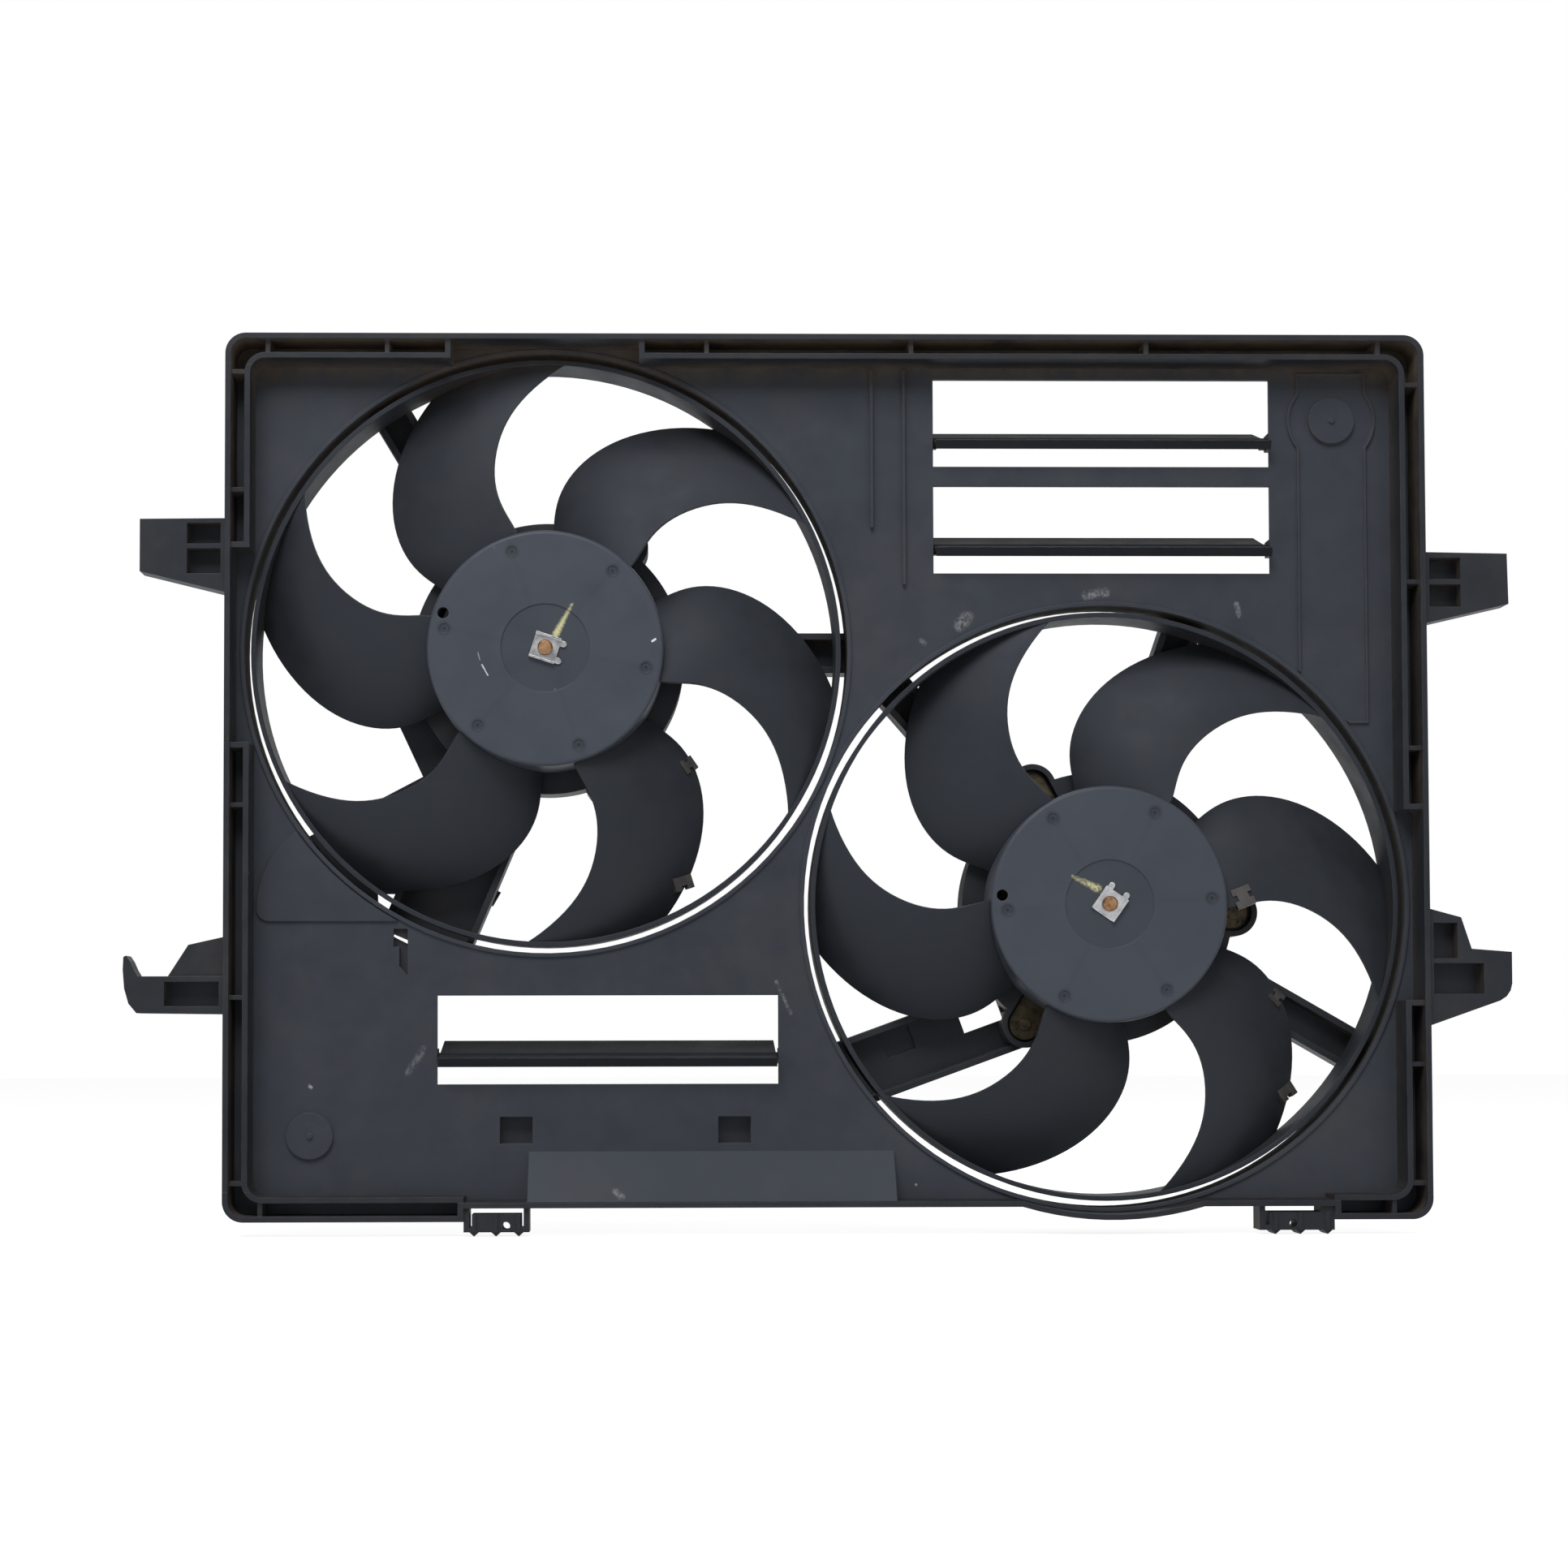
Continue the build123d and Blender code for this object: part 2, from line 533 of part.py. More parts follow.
def blind_openings():
    """The panel's small blind openings: each one's hole, the block around it and its depth."""
    found = []
    for x, z in SNAP_CENTRES:
        around = Rectangle(SNAP_W + 2 * SNAP_WALL, SNAP_H + 2 * SNAP_WALL)
        found.append((Pos(x, z) * Rectangle(SNAP_W, SNAP_H), Pos(x, z) * around, SNAP_DEPTH))
    x, z = spot(OPENING_R + NOTCH_CLEAR, NOTCH_DEG)
    corner = Pos(x + SIDES["left"][0], z + SIDES["left"][1])
    xs, zs = zip(*NOTCH)
    around = band(min(xs) - SNAP_WALL, max(xs) + SNAP_WALL, min(zs) - SNAP_WALL, max(zs) + SNAP_WALL)
    found.append((corner * Polygon(*NOTCH, align=None), corner * around, NOTCH_DEPTH))
    return found


def shroud_panel():
    """The flat panel with its openings, relief, pockets and the ramp at its bottom edge."""
    foot = -BODY_H / 2 + BOTTOM_STEP + WALL
    sheet = outline(WALL) - openings(OPENING_R)
    for x, z in WINDOW_CENTRES.values():
        sheet -= Pos(x, z) * Rectangle(WINDOW_W, WINDOW_H)
    sheet -= band(RAMP_X0 + PLATE_T, RAMP_X1 - PLATE_T, foot - WALL, foot + RAMP_RISE_Z - WALL - PLATE_T)
    panel = prism(sheet, PLATE_Y, PLATE_REAR_Y)
    for x, z in SIDES.values():
        panel += Pos(x, 0, z) * tube(BARREL_R, OPENING_R, PLATE_Y - LIP_BEAD, PLATE_Y)
    for hole, around, depth in blind_openings():
        walls = around - openings(ARM_OUT_R + POCKET_TO_ARM)
        panel += prism(walls, PLATE_REAR_Y, PLATE_REAR_Y + depth + SNAP_FLOOR)
        panel -= prism(hole, PLATE_Y, PLATE_REAR_Y + depth)
    panel += panel_relief()
    panel += ramp()
    return panel


def side_tab(side, points, pockets):
    """A mounting tab on one side's edge, with open pockets on its front."""
    edge = side * BODY_W / 2
    tab = prism(Polygon(*[(edge + side * out, z) for out, z in points], align=None), TAB_Y, TAB_Y + TAB_T)
    for near, far, z0, z1 in pockets:
        x0, x1 = sorted((edge + side * near, edge + side * far))
        tab -= block(x0, x1, TAB_Y, TAB_Y + TAB_T - TAB_WALL, z0, z1)
    return tab


def left_tabs():
    """The upper tab and the lower hook on the left edge."""
    edge = -BODY_W / 2
    gusset = Polygon(*[(edge - out, z) for out, z in LEFT_GUSSET], align=None)
    tabs = side_tab(-1, LEFT_UPPER_TAB, LEFT_UPPER_POCKETS) + side_tab(-1, LEFT_LOWER_TAB, LEFT_LOWER_POCKETS)
    return tabs + prism(gusset, GUSSET_Y, GUSSET_Y + WALL)


def right_tabs():
    """The upper and lower tabs on the right edge."""
    return side_tab(1, RIGHT_UPPER_TAB, RIGHT_UPPER_POCKETS) + side_tab(1, RIGHT_LOWER_TAB, RIGHT_LOWER_POCKETS)


def bottom_clip(x0, width, hole, teeth, side_slot, joined):
    """A toothed foot under the bottom edge, slotted free of it, with its locating hole."""
    top = -BODY_H / 2 + BOTTOM_STEP
    high = top - CLIP_TOP_SLOT
    low = high - CLIP_BLOCK_H
    x1 = x0 + width
    y1 = CLIP_Y + CLIP_L
    foot = block(x0, x1, CLIP_Y, y1, low, top)
    foot -= block(x0 + CLIP_ARM_T, x1 - max(CLIP_ARM_T, joined), CLIP_Y, y1, high, top)
    foot -= block(x0 + CLIP_ARM_T, x0 + CLIP_ARM_T + side_slot, CLIP_Y, y1, low + CLIP_ROOT_H, high)
    if joined == 0.0:
        foot -= block(x1 - CLIP_ARM_T - side_slot, x1 - CLIP_ARM_T, CLIP_Y, y1, low + CLIP_ROOT_H, high)
    for place in teeth:
        x = x0 + place
        foot += block(x - CLIP_RIB_T / 2, x + CLIP_RIB_T / 2, CLIP_Y - CLIP_RIB_H, CLIP_Y, low, high)
        half = CLIP_TOOTH_W / 2
        foot += prism(Polygon((x - half, low), (x + half, low), (x, low - CLIP_TOOTH_H), align=None), CLIP_Y, y1)
    return foot - rod(CLIP_HOLE_R, CLIP_Y - CLIP_RIB_H, y1, x0 + hole, low + CLIP_HOLE_UP)


def rim():
    """The perimeter wall, the second wall inside it and the ribs between them."""
    half_w, half_h = BODY_W / 2, BODY_H / 2
    wall_in, wall_out = CHANNEL_W, CHANNEL_W - WALL
    walls = prism(outline(0) - outline(WALL), 0, PLATE_REAR_Y)
    inner = RectangleRounded(BODY_W - 2 * wall_out, BODY_H - 2 * wall_out, CORNER_R)
    inner -= RectangleRounded(BODY_W - 2 * wall_in, BODY_H - 2 * wall_in, CORNER_R - WALL)
    kept = band(-half_w, TOP_GAP_X0, LEFT_GAP_Z1, half_h)
    kept += band(TOP_GAP_X1, half_w, RIGHT_GAP_Z1, half_h)
    kept += band(-half_w, BOTTOM_STEP_X0, -half_h, LEFT_GAP_Z0)
    kept += band(BOTTOM_STEP_X1, half_w, -half_h, RIGHT_GAP_Z0)
    walls += prism(inner & kept, INNER_WALL_Y, PLATE_Y)
    ends = (
        band(TOP_GAP_X0 - WALL, TOP_GAP_X0, half_h - wall_in, half_h - WALL),
        band(TOP_GAP_X1, TOP_GAP_X1 + WALL, half_h - wall_in, half_h - WALL),
        band(WALL - half_w, wall_in - half_w, LEFT_GAP_Z1, LEFT_GAP_Z1 + WALL),
        band(WALL - half_w, wall_in - half_w, LEFT_GAP_Z0 - WALL, LEFT_GAP_Z0),
        band(half_w - wall_in, half_w - WALL, RIGHT_GAP_Z1, RIGHT_GAP_Z1 + WALL),
        band(half_w - wall_in, half_w - WALL, RIGHT_GAP_Z0 - WALL, RIGHT_GAP_Z0),
        band(BOTTOM_STEP_X0 - WALL, BOTTOM_STEP_X0, WALL - half_h, wall_in - half_h),
        band(BOTTOM_STEP_X1, BOTTOM_STEP_X1 + WALL, WALL - half_h, wall_in - half_h))
    for end in ends:
        walls += prism(end, INNER_WALL_Y, PLATE_Y)
    half = RIB_T / 2
    for x in TOP_RIBS_X:
        walls += block(x - half, x + half, RIB_Y, PLATE_Y, half_h - wall_out, half_h - WALL)
    for x in BOTTOM_RIBS_X:
        walls += block(x - half, x + half, RIB_Y, PLATE_Y, WALL - half_h, wall_out - half_h)
    for z in LEFT_RIBS_Z:
        walls += block(WALL - half_w, wall_out - half_w, RIB_Y, PLATE_Y, z - half, z + half)
    for z in RIGHT_RIBS_Z:
        walls += block(half_w - wall_out, half_w - WALL, RIB_Y, PLATE_Y, z - half, z + half)
    for axis in SIDES.values():
        walls -= Pos(axis[0], 0, axis[1]) * rod(BARREL_R, PLATE_Y - LIP_BEAD, BARREL_REAR_Y)
    return walls


def rim_parts():
    """The rim as its four sides, with the tabs and clips that each side carries."""
    walls = rim()
    half_w, half_h = BODY_W / 2, BODY_H / 2
    cut = CHANNEL_W + WALL
    deep = BODY_H
    top = walls & block(-half_w, half_w, -1, deep, half_h - cut, half_h)
    bottom = walls & block(-half_w, half_w, -1, deep, -half_h, cut - half_h)
    left = walls & block(-half_w, cut - half_w, -1, deep, cut - half_h, half_h - cut)
    right = walls & block(half_w - cut, half_w, -1, deep, cut - half_h, half_h - cut)
    for clip in BOTTOM_CLIPS:
        bottom += bottom_clip(*clip)
    return {
        "rim_top": top, "rim_bottom": bottom, "rim_left": left + left_tabs(), "rim_right": right + right_tabs()}


def flap(x, z, open_deg):
    """A butterfly flap on its two pins, resting open against its stops, with a thick lower edge."""
    low = FLAP_PIVOT_UP - FLAP_GAP
    high = WINDOW_H - FLAP_PIVOT_UP - FLAP_GAP
    length = WINDOW_W - 2 * FLAP_GAP
    leaf = block(-length / 2, length / 2, -FLAP_T / 2, FLAP_T / 2, -low, high)
    leaf += block(-length / 2, length / 2, -FLAP_BEAD_T / 2, FLAP_BEAD_T / 2, -low, FLAP_BEAD_W - low)
    leaf += Rot(0, 90, 0) * Cylinder(FLAP_PIN_R, WINDOW_W + 2 * FLAP_BEARING_W)
    return Pos(x, FLAP_PIVOT_Y, z - WINDOW_H / 2 + FLAP_PIVOT_UP) * Rot(-open_deg, 0, 0) * leaf


def blade_edges(share):
    """At a share of the span: radius, half width and middle as angles, and both edges' depths."""
    for (s0, lead0, trail0), (s1, lead1, trail1) in zip(BLADE, BLADE[1:]):
        if share <= s1:
            break
    along = (share - s0) / (s1 - s0)
    lead, trail = lead0 + (lead1 - lead0) * along, trail0 + (trail1 - trail0) * along
    root_y, tip_y = HUB_Y + ROOT_FRONT, FAN_RING_Y + TIP_FRONT
    lead_y = root_y + (tip_y - root_y) * share
    root_y, tip_y = HUB_REAR_Y - ROOT_REAR, FAN_RING_REAR_Y - TIP_REAR
    trail_y = root_y + (tip_y - root_y) * share
    return HUB_R + (FAN_RING_R - HUB_R) * share, radians(trail - lead) / 2, (lead + trail) / 2, lead_y, trail_y


def across_blade(r, half, middle):
    """The plane across the radius through the middle of a blade section."""
    x, z = spot(r * cos(half), middle)
    out_x, out_z = spot(1.0, middle)
    return Plane(origin=(x, 0, z), x_dir=(-out_z, 0, out_x), z_dir=(out_x, 0, out_z))


def blade_section(share):
    """One blade section, on the plane across the radius through its middle angle."""
    r, half, middle, lead_y, trail_y = blade_edges(share)
    reach = r * sin(half)
    start, end = (-reach, -lead_y), (reach, -trail_y)
    run = hypot(end[0] - start[0], end[1] - start[1])
    along = ((end[0] - start[0]) / run, (end[1] - start[1]) / run)
    across = (-along[1], along[0])

    def point(part, side):
        bulge = 4 * part * (1 - part)
        thick = BLADE_EDGE_T + (BLADE_T - BLADE_EDGE_T) * bulge
        lift = BLADE_CAMBER * run * bulge + side * thick / 2
        return (start[0] + along[0] * run * part + across[0] * lift,
                start[1] + along[1] * run * part + across[1] * lift)

    parts = (0.0, 0.25, 0.5, 0.75, 1.0)
    front = [point(p, 1) for p in parts]
    back = [point(p, -1) for p in reversed(parts)]
    edges = [Spline(*front), Line(front[-1], back[0]), Spline(*back), Line(back[-1], front[0])]
    return across_blade(r, half, middle) * make_face(Wire(edges))


def blade():
    """The first blade, from the hub's wall to the ring's."""
    span = tube(FAN_RING_R - FAN_RING_T, HUB_R, 0, CARRIER_REAR_Y)
    return loft([blade_section(station[0]) for station in BLADE]) & span


def fan_hub():
    """The fan's cup, with its boss, ribs, pin hole and round marks."""
    cup = rod(HUB_R, HUB_Y, HUB_REAR_Y)
    cup = fillet(cup.edges().filter_by(GeomType.CIRCLE).sort_by(Axis.Y)[0], HUB_EDGE_R)
    back = HUB_Y + HUB_T
    cup -= rod(HUB_R - HUB_T, back, HUB_REAR_Y)
    cup += rod(HUB_BOSS_R, HUB_Y + HUB_RECESS, HUB_Y + HUB_BOSS_DEPTH)
    half = HUB_RIB_T / 2
    rib = block(HUB_BOSS_R - HUB_ROOT, HUB_R - HUB_T / 2, back - HUB_T / 2, back + HUB_RIB_DEPTH, -half, half)
    for k in range(BLADES):
        cup += turned(rib, 360.0 * k / BLADES + HUB_RIB_TURN)
    cup -= rod(HUB_RECESS_R, HUB_Y, HUB_Y + HUB_RECESS)
    cup -= rod(SHAFT_R, 0, HUB_REAR_Y)
    inset, angle = PIN_HOLE_AT
    cup -= rod(PIN_HOLE_R, HUB_Y, back, *spot(HUB_R - inset, angle))
    inset, angle = MARK_AT
    for k in range(BLADES):
        cup -= rod(MARK_R, HUB_Y, HUB_Y + MARK_DEPTH, *spot(HUB_R - inset, angle + 360.0 * k / BLADES))
    return cup


def fan_blades(first_blade, phase):
    """The six blades, between the hub and the ring, turned to the fan's place."""
    blades = Part()
    for k in range(BLADES):
        blades += turned(first_blade, 360.0 * k / BLADES + phase)
    return blades


def balance_clip(first_blade, number, share, edge, width, grip):
    """A folded steel clip pushed over one edge of one blade."""
    r, half, middle, lead_y, trail_y = blade_edges(share)
    reach = r * sin(half)
    slope = degrees(atan2(lead_y - trail_y, 2 * reach))
    bend = degrees(atan(4 * BLADE_CAMBER))
    side = 1 if edge == "trailing" else -1
    body = Box(grip + BALANCE_CLIP_T, BLADE_T + BALANCE_CLIP_T, width)
    for end in (-1, 1):
        body -= Pos(0, 0, end * width / 2) * Box(grip / 3, BLADE_T + BALANCE_CLIP_T, BALANCE_NOTCH)
    place = Pos(side * reach, -(trail_y if side > 0 else lead_y), 0)
    place = place * Rot(0, 0, slope - side * bend) * Pos(side * (BALANCE_CLIP_T + 2 * BALANCE_PROUD - grip) / 2, 0, 0)
    seated = across_blade(r, half, middle).location * place * body - first_blade
    return turned(seated, 360.0 * number / BLADES)


def fan_clip(turn):
    """The square spring plate that holds the fan on the shaft, with its two tongues."""
    front = HUB_Y + HUB_RECESS - CLIP_T
    plate = Rectangle(CLIP_W, CLIP_W)
    for side in (-1, 1):
        tongue = SlotCenterToCenter(CLIP_TONGUE_L, CLIP_TONGUE_W)
        plate += Pos(CLIP_W / 2 + CLIP_T, side * CLIP_W / 3) * tongue
    clip = prism(plate - Circle(SHAFT_R), front, front + CLIP_T)
    fold = block(-CLIP_W / 2, CLIP_W / 2, front - CLIP_FOLD, front, -CLIP_T / 2, CLIP_T / 2)
    for side in (-1, 1):
        clip += Pos(0, 0, side * (CLIP_W - CLIP_T) / 2) * fold
    return turned(clip, turn)


def shaft():
    """The motor shaft, with a chamfered front end."""
    bar = rod(SHAFT_R, SHAFT_Y, SHAFT_REAR_Y)
    return chamfer(bar.edges().filter_by(GeomType.CIRCLE).sort_by(Axis.Y)[0], SHAFT_CHAMFER)


def armature_core():
    """The slotted steel core."""
    core = tube(CORE_R, SHAFT_R, CORE_Y, CORE_Y + CORE_L)
    slot = block(SLOT_BOTTOM_R, CORE_R - TOOTH_TIP, CORE_Y, CORE_Y + CORE_L, -SLOT_W / 2, SLOT_W / 2)
    mouth = block(COIL_R, CORE_R + AIR_GAP, CORE_Y, CORE_Y + CORE_L, -SLOT_MOUTH / 2, SLOT_MOUTH / 2)
    for k in range(SLOTS):
        core -= turned(slot + mouth, 360.0 * k / SLOTS)
    return core


def armature_windings():
    """The copper in the slots, joined by the end turns."""
    y0, y1 = CORE_Y, CORE_Y + CORE_L
    copper = tube(COIL_R, COIL_BORE_R, y0 - COIL_OVERHANG, y0)
    copper += tube(COIL_R, COIL_BORE_R, y1, y1 + COIL_OVERHANG)
    half = SLOT_W / 2 - COIL_INSET
    bar = block(SLOT_BOTTOM_R + COIL_INSET, COIL_R, y0, y1, -half, half)
    for k in range(SLOTS):
        copper += turned(bar, 360.0 * k / SLOTS)
    return copper


def commutator():
    """The segmented copper drum."""
    y1 = COMMUTATOR_Y + COMMUTATOR_L
    drum = tube(COMMUTATOR_R, SHAFT_R, COMMUTATOR_Y, y1)
    half = BAR_GROOVE_W / 2
    groove = block(COMMUTATOR_R - BAR_GROOVE, COMMUTATOR_R + BAR_GROOVE, COMMUTATOR_Y, y1, -half, half)
    for k in range(SLOTS):
        drum -= turned(groove, 360.0 * k / SLOTS)
    return drum


def motor_can():
    """The drawn steel cup around the motor, with the front bearing seat."""
    can = rod(CAN_R, CAN_Y, CAN_REAR_Y)
    can = fillet(can.edges().filter_by(GeomType.CIRCLE).sort_by(Axis.Y)[0], CAN_EDGE_R)
    can -= rod(CAN_BORE_R, CAN_Y + CAN_T, CAN_REAR_Y)
    can += rod(CAN_BOSS_R, CAN_Y - CAN_BOSS_L, CAN_Y + BEARING_L)
    can -= rod(BEARING_R, FRONT_BEARING_Y, CAN_Y + BEARING_L)
    return can - rod(SHAFT_R + SHAFT_CLEAR, 0, CAN_REAR_Y)


def bearing(y):
    """A plain bush around the shaft."""
    return tube(BEARING_R, SHAFT_R + BEARING_PLAY, y, y + BEARING_L)


def magnets():
    """Two ferrite arcs inside the can."""
    outer = CAN_BORE_R - MAGNET_SEAT
    arcs = Part()
    ring = tube(outer, CAN_BORE_R - MAGNET_T, MAGNET_Y, MAGNET_Y + MAGNET_L)
    gap_half = (180.0 - MAGNET_ARC) / 2
    for mid in (90.0, 270.0):
        fan_out = [spot(2 * CAN_R, mid + a) for a in (gap_half - 90.0, 0.0, 90.0 - gap_half)]
        arcs += ring & prism(Polygon((0, 0), *fan_out, align=None), MAGNET_Y, MAGNET_Y + MAGNET_L)
    return arcs


def motor_end_cap():
    """The rear cap with the rear bearing seat and the connector socket."""
    rear = CAN_REAR_Y + CAP_T
    cap = rod(CAN_R, CAN_REAR_Y, rear)
    cap += rod(CAN_BOSS_R, CAN_REAR_Y, rear + CAP_BOSS_L)
    cap -= rod(BEARING_R, CAN_REAR_Y, REAR_BEARING_Y + BEARING_L)
    shell = Rectangle(SOCKET_W, SOCKET_H) - Rectangle(SOCKET_W - 2 * SOCKET_T, SOCKET_H - 2 * SOCKET_T)
    cap += prism(Pos(0, -SOCKET_RADIUS) * shell, rear, rear + SOCKET_L)
    pin = block(-PIN_W / 2, PIN_W / 2, rear, rear + SOCKET_L - PIN_SHORT, -PIN_T / 2, PIN_T / 2)
    for side in (-1, 1):
        cap += Pos(side * PIN_PITCH / 2, 0, -SOCKET_RADIUS) * pin
    return cap


def brush_card():
    """The insulating card with the two brush boxes."""
    card = tube(CAN_BORE_R - CARD_SEAT, COMMUTATOR_R + CARD_BORE, CARD_Y, CARD_Y + CARD_T)
    far = COMMUTATOR_R + BRUSH_BOX_L
    outer_half = BRUSH_W / 2 + BRUSH_BOX_T
    outer = block(-outer_half, outer_half, CARD_Y - BRUSH_H - BRUSH_BOX_T, CARD_Y,
                  COMMUTATOR_R + BRUSH_BOX_START, far + BRUSH_BOX_T)
    inner = block(-BRUSH_W / 2, BRUSH_W / 2, CARD_Y - BRUSH_H, CARD_Y, COMMUTATOR_R, far)
    for turn in (0.0, 180.0):
        card += turned(outer - inner, turn)
    return card


def brushes():
    """Two carbon blocks that bear on the commutator."""
    blocks = Part()
    half = BRUSH_W / 2 - BRUSH_GAP
    bar = block(-half, half, CARD_Y - BRUSH_H + BRUSH_GAP, CARD_Y - BRUSH_GAP, 0, COMMUTATOR_R + BRUSH_L)
    bar -= rod(COMMUTATOR_R + BRUSH_GAP, CORE_Y, CAN_REAR_Y)
    for turn in (0.0, 180.0):
        blocks += turned(bar, turn)
    return blocks


def ear_arms(ears, width):
    """Round-ended arms from the axis to each screw, as a sketch."""
    arms = Sketch()
    for angle in ears:
        arms += Rot(0, 0, angle) * Pos(EAR_R / 2, 0) * Rectangle(EAR_R, width)
        arms += Pos(*spot(EAR_R, angle)) * Circle(width / 2)
    return arms


def motor_flange(ears):
    """The plated steel plate around the can, with three ears."""
    shape = Circle(FLANGE_R) + ear_arms(ears, EAR_W) - Circle(CAN_R)
    for angle in ears:
        shape -= Pos(*spot(EAR_R, angle)) * Circle(SCREW_R)
    return prism(shape, FLANGE_Y, POCKET_FLOOR_Y)


def motor_screws(ears):
    """Three flanged hexagon screws from the rear into the ears."""
    screws = Part()
    for angle in ears:
        x, z = spot(EAR_R, angle)
        screw = rod(SCREW_R, FLANGE_Y - SCREW_TIP, CARRIER_REAR_Y, x, z)
        screw += rod(SCREW_HEAD_R + SCREW_COLLAR, CARRIER_REAR_Y, CARRIER_REAR_Y + SCREW_COLLAR_T, x, z)
        head = Pos(x, z) * RegularPolygon(SCREW_HEAD_R, 6)
        screw += prism(head, CARRIER_REAR_Y + SCREW_COLLAR_T, CARRIER_REAR_Y + SCREW_HEAD_L)
        screws += screw
    return screws


def arm(degrees_ccw, width, offset):
    """A channel-section arm, from the carrier ring to the back of the panel outside the barrel."""
    z0, z1 = offset - width / 2, offset + width / 2
    start = sqrt(max(CARRIER_R ** 2 - max(abs(z0), abs(z1)) ** 2, 0.0))
    bar = block(start - CARRIER_WALL, ARM_OUT_R, ARM_Y, ARM_REAR_Y, z0, z1)
    bar -= block(start, ARM_OUT_R - ARM_WALL, ARM_Y, ARM_REAR_Y - ARM_WALL, z0 + ARM_WALL, z1 - ARM_WALL)
    post = block(CARRIER_R, ARM_OUT_R, PLATE_REAR_Y, ARM_Y, z0, z1)
    post -= rod(BARREL_R + ARM_CLEAR, PLATE_Y, ARM_Y)
    return turned(bar + post, degrees_ccw)


def wide_arm_cut(along, across, w, h, y1):
    """A square cut in the right carrier's wide arm, from its front to depth y1."""
    cut = block(along - w / 2, along + w / 2, ARM_Y, y1, across - h / 2, across + h / 2)
    return turned(cut, ARMS["right"][3][0])


def carrier(side):
    """The ring that holds one motor with its screw lobes, and the arms outside it, as two parts."""
    lobes = ear_arms(EARS[side], 2 * LOBE_R)
    core = prism(Circle(CARRIER_R) + lobes, CARRIER_Y, CARRIER_REAR_Y)
    body = Part() + core
    for direction, width, offset in ARMS[side]:
        body += arm(direction, width, offset)
    if side == "left":
        body += deck()
    else:
        reach, *hole = WIDE_ARM_HOLE
        body -= wide_arm_cut(CARRIER_R + reach, *hole, ARM_REAR_Y)
        reach, *recess = WIDE_ARM_RECESS
        body -= wide_arm_cut(ARM_OUT_R - reach, *recess, ARM_REAR_Y - RECESS_FLOOR)
    groove = Circle(CARRIER_R - CARRIER_WALL) - Circle(CARRIER_BORE_R + CARRIER_WALL) - lobes
    body -= prism(groove, CARRIER_Y + 2 * CARRIER_WALL, CARRIER_REAR_Y)
    body -= rod(CARRIER_BORE_R, PLATE_Y, CARRIER_REAR_Y)
    body -= prism(ear_arms(EARS[side], 2 * POCKET_R), CARRIER_Y, POCKET_FLOOR_Y)
    for angle in EARS[side]:
        body -= rod(SCREW_R + SCREW_PLAY, CARRIER_Y, CARRIER_REAR_Y, *spot(EAR_R, angle))
    outside = (body - core).solids().sort_by(SortBy.VOLUME)
    arms = Part() + list(outside[-len(ARMS[side]):])
    return body - arms, arms


def deck():
    """The web beside the wide arm, with its edge ribs, the outer wall and the slanted opening."""
    outer = [spot(ARM_OUT_R, angle) for angle in DECK_OUTER_DEG]
    web = Polygon(*DECK_INNER, *outer, align=None)
    floor = prism(web, ARM_REAR_Y - ARM_WALL, ARM_REAR_Y)
    rib = Polyline(*DECK_INNER[2:], outer[0])
    floor += prism(trace(rib, line_width=2 * CARRIER_WALL) & web, ARM_Y, ARM_REAR_Y)
    a0, a1 = DECK_WALL_ARC
    wedge = Polygon((0, 0), *[spot(2 * ARM_OUT_R, a) for a in (a0, (a0 + a1) / 2, a1)], align=None)
    ring = Circle(ARM_OUT_R) - Circle(BARREL_R + ARM_CLEAR)
    floor += prism(ring & wedge, PLATE_REAR_Y, ARM_REAR_Y)
    hole = Polygon(*[spot(ARM_OUT_R - inset, angle) for inset, angle in DECK_HOLE], align=None)
    return floor - prism(hole, ARM_Y, ARM_REAR_Y)


def at_module(shape):
    """Places a shape drawn around the module's middle, with +X pointing outwards."""
    return turned(Pos(MODULE_R, 0, 0) * shape, MODULE_DEG)


def module_housing():
    """The box of the fan control module, with its mounting ears and socket."""
    y0, y1 = ARM_REAR_Y, ARM_REAR_Y + MODULE_H
    half_d, half_w, wall = MODULE_D / 2, MODULE_W / 2, MODULE_WALL
    box = block(-half_d, half_d, y0, y1, -half_w, half_w)
    box -= block(-half_d + wall, half_d - wall, y0 + wall, y1, -half_w + wall, half_w - wall)
    ear = MODULE_EAR / 2
    for side in (-1, 1):
        z = side * (half_w + ear)
        box += block(-ear, ear, y0, y0 + MODULE_EAR_T, z - ear, z + ear)
        box -= rod(MODULE_SCREW_R, y0, y0 + MODULE_EAR_T, 0, z)
    reach, across, tall = MODULE_SOCKET
    y0 += MODULE_SOCKET_UP
    t = MODULE_SOCKET_T
    box += block(-half_d - reach, -half_d, y0, y0 + tall, -across / 2, across / 2)
    box -= block(-half_d - reach, -half_d - t, y0 + t, y0 + tall - t, -across / 2 + t, across / 2 - t)
    return at_module(box)


def module_cover():
    """The finned aluminium cover on the control module."""
    y0 = ARM_REAR_Y + MODULE_H
    half_d, half_w = MODULE_D / 2, MODULE_W / 2
    cover = block(-half_d, half_d, y0, y0 + MODULE_COVER_T, -half_w, half_w)
    fin_y = y0 + MODULE_COVER_T
    for k in range(FINS):
        z = -half_w + FIN_T / 2 + k * (MODULE_W - FIN_T) / (FINS - 1)
        cover += block(-half_d, half_d, fin_y, fin_y + FIN_H, z - FIN_T / 2, z + FIN_T / 2)
    return at_module(cover)


